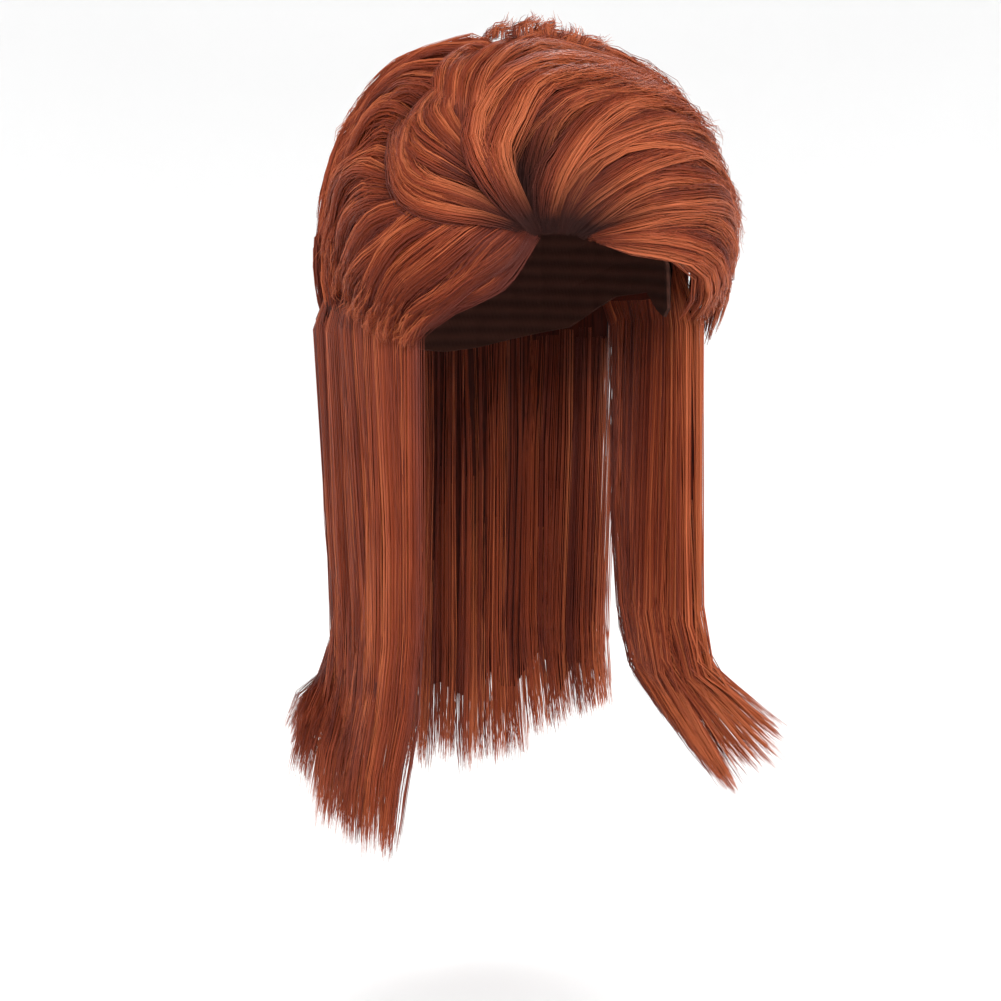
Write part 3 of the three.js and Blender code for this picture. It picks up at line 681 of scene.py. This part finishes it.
STRAND_INPUTS = {
    "Fullness": ("NodeSocketFloat", 1.0),
    "Radius": ("NodeSocketFloat", 0.26 * MM),
    "Frizz": ("NodeSocketFloat", 1.5 * MM),
    "Curl length": ("NodeSocketFloat", CURL_LENGTH),
    "Ragged": ("NodeSocketFloat", 0.12),
    "Seed": ("NodeSocketInt", 1),
    "Material": ("NodeSocketMaterial", None),
}


def strand_tree():
    """Fills every guide line with strands that stray, taper and end unevenly."""
    tree = bpy.data.node_groups.new("Strands along guides", "GeometryNodeTree")
    tree.interface.new_socket("Geometry", in_out="INPUT", socket_type="NodeSocketGeometry")
    for name, (kind, default) in STRAND_INPUTS.items():
        socket = tree.interface.new_socket(name, in_out="INPUT", socket_type=kind)
        if default is not None:
            socket.default_value = default
    tree.interface.new_socket("Geometry", in_out="OUTPUT", socket_type="NodeSocketGeometry")
    g = Graph(tree)
    group = tree.nodes.new("NodeGroupInput")
    given = {name: Sock(g, group.outputs[name]) for name in ("Geometry", *STRAND_INPUTS)}

    lines = g.add("GeometryNodeMeshToCurve", {}, {"Mesh": given["Geometry"]})
    many = g.add(
        "GeometryNodeDuplicateElements", {"domain": "SPLINE"},
        {"Geometry": lines, "Amount": given["Fullness"] * g.named("FLOAT", "strands") + 0.5},
    )
    random = g.add(
        "FunctionNodeRandomValue", {"data_type": "FLOAT_VECTOR"},
        {0: (-1, -1, -1), 1: (1, 1, 1), "Seed": given["Seed"]},
    )
    marked = g.add(
        "GeometryNodeStoreNamedAttribute", {"data_type": "FLOAT_VECTOR", "domain": "CURVE"},
        {"Geometry": many, "Name": "pick", "Value": random},
    )
    across, deep, late = g.parts(g.named("FLOAT_VECTOR", "pick"))
    cut = g.add(
        "GeometryNodeTrimCurve", {"mode": "FACTOR"},
        {"Curve": marked, "End": 1 - given["Ragged"] * (late * 0.5 + 0.5)},
    )
    along = g.add("GeometryNodeSplineParameter", {}, {}, "Factor")
    timed = g.add(
        "GeometryNodeStoreNamedAttribute", {"data_type": "FLOAT", "domain": "POINT"},
        {"Geometry": cut, "Name": "along", "Value": along},
    )
    along = g.named("FLOAT", "along")
    rounded = (1 - across * across) ** 0.5
    place = g.add("GeometryNodeInputPosition", {}, {})
    pick = g.named("FLOAT_VECTOR", "pick")
    noise = g.add(
        "ShaderNodeTexNoise", {"noise_dimensions": "3D"},
        {"Vector": place / given["Curl length"] + pick * 37.0, "Scale": 1.0, "Detail": 1.0}, "Color",
    )
    stray = (noise - (0.5, 0.5, 0.5)) * (given["Frizz"] * 2 * (ROOT_STRAY + (1 - ROOT_STRAY) * along))
    offset = (
        g.named("FLOAT_VECTOR", "side") * (across * g.named("FLOAT", "breadth"))
        + g.named("FLOAT_VECTOR", "out") * (deep * rounded * g.named("FLOAT", "depth"))
        + stray
    )
    moved = g.add("GeometryNodeSetPosition", {}, {"Geometry": timed, "Offset": offset})
    thinned = 1 - TIP_THINNING * along**6
    rooted = (along * 6 + ROOT_WIDTH).clamped()
    width = given["Radius"] * g.named("FLOAT", "thick") * thinned * rooted
    ring = g.add("GeometryNodeCurvePrimitiveCircle", {}, {"Resolution": TUBE_SIDES, "Radius": 1.0})
    tubes = g.add(
        "GeometryNodeCurveToMesh", {},
        {"Curve": moved, "Profile Curve": ring, "Scale": width, "Fill Caps": True},
    )
    smooth = g.add("GeometryNodeSetShadeSmooth", {}, {"Geometry": tubes})
    real = g.add("GeometryNodeRealizeInstances", {}, {"Geometry": smooth})
    painted = g.add("GeometryNodeSetMaterial", {}, {"Geometry": real, "Material": given["Material"]})
    end = tree.nodes.new("NodeGroupOutput")
    tree.links.new(painted.socket, end.inputs[0])
    return tree


def baked(source, name):
    """The object's evaluated mesh as a plain object, in place of the source."""
    graph = bpy.context.evaluated_depsgraph_get()
    final = source.evaluated_get(graph)
    mesh = bpy.data.meshes.new_from_object(final, preserve_all_data_layers=True, depsgraph=graph)
    mesh.name = name
    bpy.data.objects.remove(source)
    piece = bpy.data.objects.new(name, mesh)
    bpy.context.scene.collection.objects.link(piece)
    return piece


# Finishes


def new_material(name):
    material = bpy.data.materials.new(name)
    material.use_nodes = True
    material.node_tree.nodes.clear()
    return material, Graph(material.node_tree)


def finish_material(graph, surface):
    end = graph.tree.nodes.new("ShaderNodeOutputMaterial")
    graph.tree.links.new(surface.socket, end.inputs["Surface"])


def rgba(colour):
    return (*colour, 1)


def strand_material(colours):
    """Copper strands: each has its own tint and uneven dye along it, with painted shade at the roots, in the
    valleys between locks, on the layers below and deep in the hair, a painted highlight on the ridges of the
    locks and painted light at the tips.
    """
    material, g = new_material("Copper strands")
    share = g.attribute("share")
    tone = g.attribute("tone")
    own, _, other = g.parts(g.attribute("pick", "Vector"))
    where = g.add("ShaderNodeTexCoord", {}, {}, "Object")
    dye = g.add("ShaderNodeTexNoise", {}, {"Vector": where, "Scale": DYE_SCALE, "Detail": 2.0})
    # Painted shade darkens the strands near the root, where they lie deep in the hair, and painted light
    # brightens the thin tips as if light shone through them.
    rooted = (1 - share * 5).clamped()
    tipped = (share * 5 - 4).clamped()
    light = (0.53 + 0.44 * own + 0.3 * tone + 0.5 * (dye - 0.5) - 0.4 * rooted + 0.3 * tipped).clamped()
    body = g.mix(light, rgba(colours.dark), rgba(colours.copper))
    # The lightest strands turn to the glint colour, at random and where painted highlights fall on the
    # ridges and tips.
    bright = ((light - 0.62) * 1.6 + 0.14 * other).clamped()
    lit = g.mix(bright, body, rgba(colours.glint))
    # Painted shade darkens strands that lie deep below the crown's outline.
    buried_shade = g.attribute("buried_shade")
    colour = g.mix((buried_shade * 1.5 - 0.1).clamped(), lit, rgba([c * 0.25 for c in colours.dark]))
    surface = g.add(
        "ShaderNodeBsdfPrincipled", {},
        {"Base Color": colour, "Roughness": 0.36 + 0.14 * dye + 0.4 * buried_shade, "Specular IOR Level": 0.32},
    )
    finish_material(g, surface)
    return material


def painted_shade_core_material(colours):
    """The hair below the strands, painted dark as the shade between them."""
    material, g = new_material("Deep hair in painted shade")
    where = g.add("ShaderNodeTexCoord", {}, {}, "Object")
    drawn = where * (1.0, 1.0, 0.12)
    streak = g.add("ShaderNodeTexNoise", {}, {"Vector": drawn, "Scale": STREAK_SCALE, "Detail": 2.0})
    patch = g.add("ShaderNodeTexNoise", {}, {"Vector": where, "Scale": PATCH_SCALE, "Detail": 2.0})
    # Streaks and patches within painted shade: the whole mass is painted far darker than the strands,
    # standing for hair in shadow.
    light = (streak * 0.9 + patch * 0.4 - 0.45).clamped()
    dark = rgba([c * 0.15 for c in colours.dark])
    colour = g.mix(light, dark, rgba([c * 0.9 for c in colours.dark]))
    surface = g.add(
        "ShaderNodeBsdfPrincipled", {},
        {"Base Color": colour, "Roughness": 0.6 + 0.2 * streak, "Specular IOR Level": 0.1},
    )
    finish_material(g, surface)
    return material


def cap_material(colours):
    """A knitted cap with rows of stitching round the head."""
    material, g = new_material("Sewn cap")
    where = g.add("ShaderNodeTexCoord", {}, {}, "Object")
    x, y, z = g.parts(where)
    row = g.add("ShaderNodeMath", {"operation": "SINE"}, {0: z * (2 * math.pi / STITCH_STEP)})
    turn = g.add("ShaderNodeMath", {"operation": "ARCTAN2"}, {0: x, 1: y})
    loop = g.add("ShaderNodeMath", {"operation": "SINE"}, {0: turn * STITCHES_ROUND})
    mesh = g.add("ShaderNodeTexNoise", {}, {"Vector": where, "Scale": KNIT_SCALE, "Detail": 1.0})
    relief = row * 0.5 + loop * row * 0.25 + mesh * 0.4
    light = (0.5 + 0.35 * row + 0.3 * (mesh - 0.5)).clamped()
    colour = g.mix(light, rgba([c * 0.5 for c in colours.cap]), rgba(colours.cap))
    bump = g.add("ShaderNodeBump", {}, {"Height": relief, "Strength": 0.5, "Distance": 0.5 * MM})
    surface = g.add(
        "ShaderNodeBsdfPrincipled", {},
        {"Base Color": colour, "Roughness": 0.8 + 0.1 * mesh, "Specular IOR Level": 0.15, "Normal": bump},
    )
    finish_material(g, surface)
    return material


# Pieces


def closed_mesh(name, points, faces, material):
    """A smooth object of closed faces that look outwards."""
    mesh = bpy.data.meshes.new(name)
    mesh.from_pydata(points.tolist(), [], [tuple(map(int, face)) for face in faces])
    work = bmesh.new()
    work.from_mesh(mesh)
    bmesh.ops.recalc_face_normals(work, faces=work.faces)
    work.to_mesh(mesh)
    work.free()
    mesh.materials.append(material)
    mesh.shade_smooth()
    made = bpy.data.objects.new(name, mesh)
    bpy.context.scene.collection.objects.link(made)
    return made


def crown_depths(name, material):
    """A closed dome over the cap that the crown's strands lie on."""
    turns, rings = DOME_TURNS, DOME_RINGS
    azimuth = np.linspace(-180, 180, turns, endpoint=False)
    hem = np.interp(azimuth, *zip(*CROWN_HEM))
    share = np.linspace(1, DOME_TOP, rings)[:, None]
    stations = [azimuth + 0 * share, hem * share, np.interp(hem * (1 - share), *DOME_RISE)]
    outer = on_hair(np.stack(stations, -1)).reshape(-1, 3)
    stations[2] = np.full_like(stations[2], DOME_INSIDE)
    inner = on_hair(np.stack(stations, -1)).reshape(-1, 3)
    tops = on_hair([(0, 0, DOME_RISE[1][-1]), (0, 0, DOME_INSIDE)])
    points = np.concatenate([outer, inner, tops])
    half = turns * rings
    faces = []
    for j in range(turns):
        k = (j + 1) % turns
        for base in (0, half):
            for i in range(rings - 1):
                low, high = base + i * turns, base + (i + 1) * turns
                faces.append((low + j, low + k, high + k, high + j))
            last = base + (rings - 1) * turns
            faces.append((last + j, last + k, 2 * half + base // half))
        faces.append((j, k, half + k, half + j))
    return closed_mesh(name, points, faces, material)


def slab(name, rows, half, sunk, end, material):
    """A closed slab of hair below a sheet of rows, thinning to an edge at a share of its length."""
    places = np.linspace(0, 1, SLAB_ROWS), np.linspace(0, 1, SLAB_STEPS)
    across, along = np.meshgrid(*places, indexing="ij")
    inset = SLAB_INSET + (1 - 2 * SLAB_INSET) * across
    uneven = np.random.default_rng(3).uniform(*SLAB_ENDS, SLAB_ROWS)[:, None]
    centre = Sheet(rows, locks=1, seed=0).at(inset, along * end * uneven)
    centre -= outwards(centre) * sunk
    thick = half * np.interp(along, *SLAB_ALONG) * np.interp(across, *SLAB_ACROSS)
    out = outwards(centre) * thick[..., None]
    points = np.concatenate([(centre + out).reshape(-1, 3), (centre - out).reshape(-1, 3)])
    top = np.arange(SLAB_ROWS * SLAB_STEPS).reshape(SLAB_ROWS, SLAB_STEPS)
    low = top + top.size
    faces = []
    for i in range(SLAB_ROWS - 1):
        for j in range(SLAB_STEPS - 1):
            faces.append((top[i, j], top[i + 1, j], top[i + 1, j + 1], top[i, j + 1]))
            faces.append((low[i, j], low[i, j + 1], low[i + 1, j + 1], low[i + 1, j]))
        faces.append((top[i, 0], low[i, 0], low[i + 1, 0], top[i + 1, 0]))
        faces.append((top[i + 1, -1], low[i + 1, -1], low[i, -1], top[i, -1]))
    for j in range(SLAB_STEPS - 1):
        faces.append((top[0, j], top[0, j + 1], low[0, j + 1], low[0, j]))
        faces.append((top[-1, j + 1], top[-1, j], low[-1, j], low[-1, j + 1]))
    return closed_mesh(name, points, faces, material)


def shared_material(name, make):
    return bpy.data.materials.get(name) or make(bpy.context.scene.wig_colours)


def shared_tree():
    return bpy.data.node_groups.get("Strands along guides") or strand_tree()


def grow(name, layers, frizz=1.0, curl=CURL_LENGTH, ragged=0.15):
    """Strands along the clumps of some layers, as a finished piece of the wig."""
    sizes = bpy.context.scene.wig_sizes
    source = guide_object(name + "_guides", layers)
    modifier = source.modifiers.new("strands", "NODES")
    modifier.node_group = shared_tree()
    settings = {
        "Fullness": sizes.fullness,
        "Radius": sizes.strand,
        "Frizz": sizes.frizz * frizz,
        "Curl length": curl,
        "Ragged": ragged,
        "Seed": sizes.seed + len(name),
        "Material": shared_material("Copper strands", strand_material),
    }
    for item in modifier.node_group.interface.items_tree:
        if item.in_out == "INPUT" and item.name in settings:
            modifier[item.identifier] = settings[item.name]
    piece = baked(source, name)
    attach(piece, "root")
    return piece


def seeded(offset):
    return np.random.default_rng(bpy.context.scene.wig_sizes.seed + offset)


class WIG_OT_cap(bpy.types.Operator):
    """Finishes the cap that the hair is sewn to."""

    bl_idname = "wig.cap"
    bl_label = "Cap"

    def execute(self, context):
        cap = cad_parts["cap"]
        cap.data.materials.clear()
        cap.data.materials.append(shared_material("Sewn cap", cap_material))
        return {"FINISHED"}


class WIG_OT_cores(bpy.types.Operator):
    """Makes the mass of hair that shows between the strands, painted dark as shade."""

    bl_idname = "wig.cores"
    bl_label = "Deep hair in painted shade"

    def execute(self, context):
        deep = shared_material("Deep hair in painted shade", painted_shade_core_material)
        piece = crown_depths("crown_hair_depths", deep)
        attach(piece, "root")
        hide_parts("crown_hair")
        for node, rows, half, sunk, end, slot in (
            ("right_sweep", crown_rows(SWEEP), 1 * MM, 4 * MM, 0.8, "temple_hair"),
            ("left_wing", crown_rows(WING), 1 * MM, 4 * MM, 0.6, "temple_hair"),
            ("right_lengths", length_rows(RIGHT_LENGTHS), 1.5 * MM, 0, 0.9, "long_hair"),
            ("back_lengths", length_rows(BACK_LENGTHS), 1.5 * MM, 0, 0.9, "long_hair"),
            ("left_lengths", length_rows(LEFT_LENGTHS), 1.5 * MM, 0, 0.9, "long_hair"),
        ):
            piece = slab(node + "_depths", rows, half, sunk, end, deep)
            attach(piece, "root")
            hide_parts(node)
        return {"FINISHED"}


class WIG_OT_crown(bpy.types.Operator):
    """Grows the teased crown: fans from the hairline, a rolled curl, a cascade and the rings behind."""

    bl_idname = "wig.crown"
    bl_label = "Crown hair"

    def execute(self, context):
        # The under layers carry painted shade, as they lie below the over layers.
        under = {"lift": (-4.5 * MM, -2 * MM), "breadth": 5 * MM, "depth": 2 * MM, "steps": 9,
                 "shade": -0.45, "strands": 9, "thick": 1.3}
        over = {"lift": (-1.5 * MM, 0.5 * MM), "breadth": 4.5 * MM, "depth": 1.3 * MM, "steps": 12,
                "stop": (0.7, 1), "strands": 19, "thick": 0.65}
        sunk = {"start": (0, 0.12), "dive": 5 * MM}
        left = Sheet(crown_rows(LEFT_FAN), locks=12, seed=1)
        loose = {"sway": 3 * MM, "slant": 0.06, "gather": 0.5}
        layers = [left.layer(seeded(1), clumps=56, **{**under, **loose})]
        layers += [left.layer(seeded(2), clumps=90, **{**over, **loose})]
        grow("left_fan", layers)
        layers = []
        for number, rows in enumerate((ROLL, CURL, SPRAY)):
            sheet = Sheet(crown_rows(rows), locks=4, seed=4 + number)
            tight = {"gather": 0.1} if rows is ROLL else {"gather": 0.1, "steps": 10, **sunk}
            layers += [sheet.layer(seeded(20 + number), clumps=16, **{**under, **tight})]
            layers += [sheet.layer(seeded(30 + number), clumps=22, **{**over, **tight, "breadth": 3 * MM})]
        grow("rolled_curl", layers)
        fall = Sheet(crown_rows(CASCADE), locks=11, seed=7)
        layers = [fall.layer(seeded(7), clumps=42, **{**under, **sunk})]
        waved = {**over, **sunk, "steps": 11, "billow": 2 * MM, "sway": 2.5 * MM}
        layers += [fall.layer(seeded(8), clumps=60, **waved)]
        grow("cascade", layers)
        top = Sheet(crown_rows(TOP), locks=8, seed=9)
        layers = [top.layer(seeded(9), clumps=30, **{**under, **sunk})]
        layers += [top.layer(seeded(10), clumps=42, **{**over, **sunk, "steps": 10})]
        grow("top_hair", layers)
        deep = {"breadth": 6.5 * MM, "steps": 6, "strands": 8, "thick": 2, "stop": (0.75, 1.05)}
        high = {"breadth": 5.5 * MM, "steps": 8, "strands": 15, "thick": 1, "stop": (0.6, 1.1)}
        layers, scattered = [], {}
        for number, ring in enumerate(BACK_RINGS):
            sheet = Sheet(ring_rows(ring), locks=14, seed=11 + number)
            layers += [sheet.layer(seeded(11), clumps=ring["clumps"], **{**under, **scattered, **deep})]
            layers += [sheet.layer(seeded(12), clumps=ring["clumps"] // 2, **{**over, **scattered, **high})]
            scattered = {"start": (0, 0.35), "dive": 5 * MM, "root_share": 0.2, "gather": 0.3}
        grow("back_layers", layers)
        ends = {"steps": 9, "start": (0.6, 0.8), "stop": (0.9, 1.06), "breadth": 2 * MM, "depth": 1.8 * MM,
                "curl": 2.5 * MM, "lift": (-1 * MM, 1 * MM), "coil": 20 * MM, "tip_share": 1.3, "strands": 6,
                "thick": 0.6}
        broad = {**ends, "breadth": 3 * MM, "strands": 7}
        layers = [left.layer(seeded(13), clumps=96, flick=13 * MM, **broad)]
        layers += [fall.layer(seeded(14), clumps=46, flick=7 * MM, **ends)]
        layers += [top.layer(seeded(15), clumps=40, flick=9 * MM, **{**ends, "start": (0.3, 0.75)})]
        tuft = Sheet(crown_rows(TUFT), locks=6, seed=16)
        upright = {**ends, "start": (0, 0.1), "curl": 1 * MM, "strands": 10, "lift": (-3 * MM, 0)}
        layers += [tuft.layer(seeded(16), clumps=54, **upright)]
        fly = {**ends, "start": (0.4, 0.7), "strands": 1, "flick": 8 * MM, "curl": 3 * MM, "thick": 0.5}
        layers += [sheet.layer(seeded(17), clumps=30, **fly) for sheet in (left, fall, top)]
        grow("crown_ends", layers, frizz=1.8, curl=8 * MM, ragged=0.5)
        return {"FINISHED"}


class WIG_OT_temples(bpy.types.Operator):
    """Grows the sweep over the right temple and the wing off the left one."""

    bl_idname = "wig.temples"
    bl_label = "Temple hair"

    def execute(self, context):
        # The under layers carry painted shade, and the sweep more, where it lies below the roll.
        under = {"lift": (-3 * MM, -1 * MM), "breadth": 4.5 * MM, "depth": 2 * MM, "relief": 3.5 * MM,
                 "shade": -0.4, "steps": 8, "strands": 11, "thick": 1.1, "buried_shade": 0.2}
        over = {"lift": (-1 * MM, 1 * MM), "breadth": 3.6 * MM, "depth": 1.3 * MM, "relief": 3.5 * MM,
                "stop": (0.8, 1.02), "strands": 19, "thick": 0.65, "buried_shade": 0.3, "shade": -0.3, "steps": 11,
                "gather": 0.15, "tip_share": 0.8}
        sweep = Sheet(crown_rows(SWEEP), locks=10, seed=21)
        layers = [sweep.layer(seeded(21), clumps=36, **{**under, "shade": -1})]
        waved = {**over, "shade": -0.75, "sway": 2.5 * MM, "slant": 0.05}
        layers += [sweep.layer(seeded(22), clumps=62, **waved)]
        grow("sweep_strands", layers, ragged=0.45)
        wing = Sheet(crown_rows(WING), locks=4, seed=23)
        layers = [wing.layer(seeded(23), clumps=18, **under), wing.layer(seeded(24), clumps=30, **over)]
        inside = {**under, "lift": (-11 * MM, -4 * MM), "steps": 6}
        layers += [wing.layer(seeded(27), clumps=16, **inside)]
        grow("wing_strands", layers)
        ends = {"steps": 12, "start": (0.66, 0.84), "stop": (0.95, 1.1), "breadth": 1.1 * MM,
                "depth": 0.8 * MM, "curl": 4 * MM, "lift": (0, 2 * MM), "coil": 22 * MM, "flick": 4 * MM,
                "tip_share": 1.6, "strands": 5, "thick": 0.55, "buried_shade": 0.2}
        layers = [sweep.layer(seeded(25), clumps=110, **ends), wing.layer(seeded(26), clumps=40, **ends)]
        grow("temple_ends", layers, frizz=1.4, curl=7 * MM, ragged=0.5)
        return {"FINISHED"}


class WIG_OT_lengths(bpy.types.Operator):
    """Grows the long straight hair beside the face and behind the neck."""

    bl_idname = "wig.lengths"
    bl_label = "Long lengths"

    def execute(self, context):
        style = {
            "steps": 8, "pace": (0.3, 0.62), "breadth": 4.5 * MM, "depth": 2 * MM, "sway": 1 * MM,
            "waves": 1.4, "tip_share": 0.6, "root_share": 0.8, "stop": (0.98, 1.1), "relief": 1.5 * MM,
            "gather": 0.15, "buried_shade": 0,
        }
        # The inner and middle layers carry painted shade, as they lie below the outer one.
        outer = {"lift": (1.5 * MM, 4.5 * MM), "strands": 20, "thick": 0.75, "shade": 0}
        inner = {"lift": (-4.5 * MM, -1.5 * MM), "strands": 15, "thick": 0.9, "shade": -0.5}
        middle = {"steps": 6, "start": (0.55, 0.75), "lift": (-2 * MM, 2 * MM), "strands": 13, "shade": -0.2}
        even = {"gather": 0.05, "slant": 0.01}
        below_cap = {**inner, **even, "start": (0.34, 0.38)}
        behind = ({**outer, **even}, below_cap, {**middle, **even})
        beside = (outer, inner, middle)
        # Each piece also gets painted shade of its own: a little on the right, more on the wearer's left.
        for name, rows, looks, clumps, shade, seed in (
            ("right_length_strands", RIGHT_LENGTHS, beside, (74, 18, 44), -0.1, 31),
            ("back_length_strands", BACK_LENGTHS, behind, (38, 34, 96), 0, 32),
            ("left_length_strands", LEFT_LENGTHS, beside, (38, 42, 40), -0.3, 33),
        ):
            sheet = Sheet(length_rows(rows), locks=14, seed=seed)
            layers = []
            for number, (count, look) in enumerate(zip(clumps, looks)):
                look = {**style, **look, "shade": look["shade"] + shade}
                layers.append(sheet.layer(seeded(seed + 5 * number), clumps=count, **look))
            grow(name, layers, frizz=0.9, curl=60 * MM, ragged=0.09)
        return {"FINISHED"}


class WIG_OT_studio(bpy.types.Operator):
    """Sets the pale floor and backdrop, the soft lights and the camera."""

    bl_idname = "wig.studio"
    bl_label = "Studio"

    def execute(self, context):
        look = context.scene.wig_studio
        paper, g = new_material("Pale paper")
        where = g.add("ShaderNodeTexCoord", {}, {}, "Object")
        grain = g.add("ShaderNodeTexNoise", {}, {"Vector": where, "Scale": 3.0})
        tint = g.mix(grain, rgba(look.paper), rgba([c * 0.98 for c in look.paper]))
        finish_material(g, g.add("ShaderNodeBsdfPrincipled", {}, {"Base Color": tint, "Roughness": 0.9}))
        turns = FLOOR_TURNS
        profile = spline(np.array(FLOOR_OUTLINE, float), np.linspace(0, 1, FLOOR_RINGS))[1:]
        angle = np.linspace(0, 2 * np.pi, turns, endpoint=False)
        circle = np.stack([np.cos(angle), np.sin(angle)], 1)
        points = [(0, 0, -look.floor_drop)]
        for reach, height in profile:
            points += [(x * reach, y * reach, height - look.floor_drop) for x, y in circle]
        faces = [(0, 1 + j, 1 + (j + 1) % turns) for j in range(turns)]
        for i in range(len(profile) - 1):
            a, b = 1 + i * turns, 1 + (i + 1) * turns
            faces += [(a + j, b + j, b + (j + 1) % turns, a + (j + 1) % turns) for j in range(turns)]
        mesh = bpy.data.meshes.new("studio_floor")
        mesh.from_pydata(points, [], faces)
        mesh.materials.append(paper)
        mesh.shade_smooth()
        floor = bpy.data.objects.new("studio_floor", mesh)
        context.scene.collection.objects.link(floor)
        for name, place, size, power in LIGHTS:
            data = bpy.data.lights.new(name, "AREA")
            data.shape = "DISK"
            data.size = size
            data.energy = power
            lamp = bpy.data.objects.new(name, data)
            lamp.location = place
            aim = LIGHT_AIM - Vector(place)
            lamp.rotation_euler = aim.to_track_quat("-Z", "Y").to_euler()
            context.scene.collection.objects.link(lamp)
        world = bpy.data.worlds.new("Studio air")
        world.use_nodes = True
        world.node_tree.nodes["Background"].inputs["Color"].default_value = (1, 1, 1, 1)
        world.node_tree.nodes["Background"].inputs["Strength"].default_value = AIR_LIGHT
        context.scene.world = world
        context.scene.view_settings.view_transform = "Standard"
        data = bpy.data.cameras.new("photo_camera")
        data.sensor_width = SENSOR_WIDTH
        data.lens = VIEW_DISTANCE * SENSOR_WIDTH / (PHOTO_SIZE * METRES_PER_PIXEL)
        camera = bpy.data.objects.new("photo_camera", data)
        a, e = math.radians(VIEW_AZIMUTH), math.radians(VIEW_ELEVATION)
        back = Vector((math.sin(a) * math.cos(e), -math.cos(a) * math.cos(e), math.sin(e)))
        right = Vector((math.cos(a), math.sin(a), 0))
        centre = PHOTO_SIZE / 2
        aim = right * (centre - HEAD_COLUMN) * METRES_PER_PIXEL
        aim.z = -(centre - HEAD_ROW) * METRES_PER_PIXEL / math.cos(e)
        camera.location = aim + back * VIEW_DISTANCE
        camera.rotation_mode = "QUATERNION"
        camera.rotation_quaternion = (-back).to_track_quat("-Z", "Y")
        context.scene.collection.objects.link(camera)
        context.scene.camera = camera
        return {"FINISHED"}


class WIG_PT_sidebar(bpy.types.Panel):
    bl_idname = "WIG_PT_sidebar"
    bl_label = "Mullet wig"
    bl_space_type = "VIEW_3D"
    bl_region_type = "UI"
    bl_category = "Wig"

    def draw(self, context):
        for group in (context.scene.wig_sizes, context.scene.wig_colours, context.scene.wig_studio):
            for name in group.bl_rna.properties.keys():
                if name not in ("rna_type", "name"):
                    self.layout.prop(group, name)
        for operator in OPERATORS:
            self.layout.operator(operator.bl_idname)


OPERATORS = (WIG_OT_cap, WIG_OT_cores, WIG_OT_crown, WIG_OT_temples, WIG_OT_lengths, WIG_OT_studio)
CLASSES = (HairSizes, HairColours, StudioLook, *OPERATORS, WIG_PT_sidebar)


def register():
    for item in CLASSES:
        bpy.utils.register_class(item)
    bpy.types.Scene.wig_sizes = PointerProperty(type=HairSizes)
    bpy.types.Scene.wig_colours = PointerProperty(type=HairColours)
    bpy.types.Scene.wig_studio = PointerProperty(type=StudioLook)


def unregister():
    del bpy.types.Scene.wig_studio
    del bpy.types.Scene.wig_colours
    del bpy.types.Scene.wig_sizes
    for item in reversed(CLASSES):
        bpy.utils.unregister_class(item)


def main():
    register()
    bpy.ops.wig.cap()
    bpy.ops.wig.cores()
    bpy.ops.wig.crown()
    bpy.ops.wig.temples()
    bpy.ops.wig.lengths()
    bpy.ops.wig.studio()


if __name__ == "__main__":
    main()
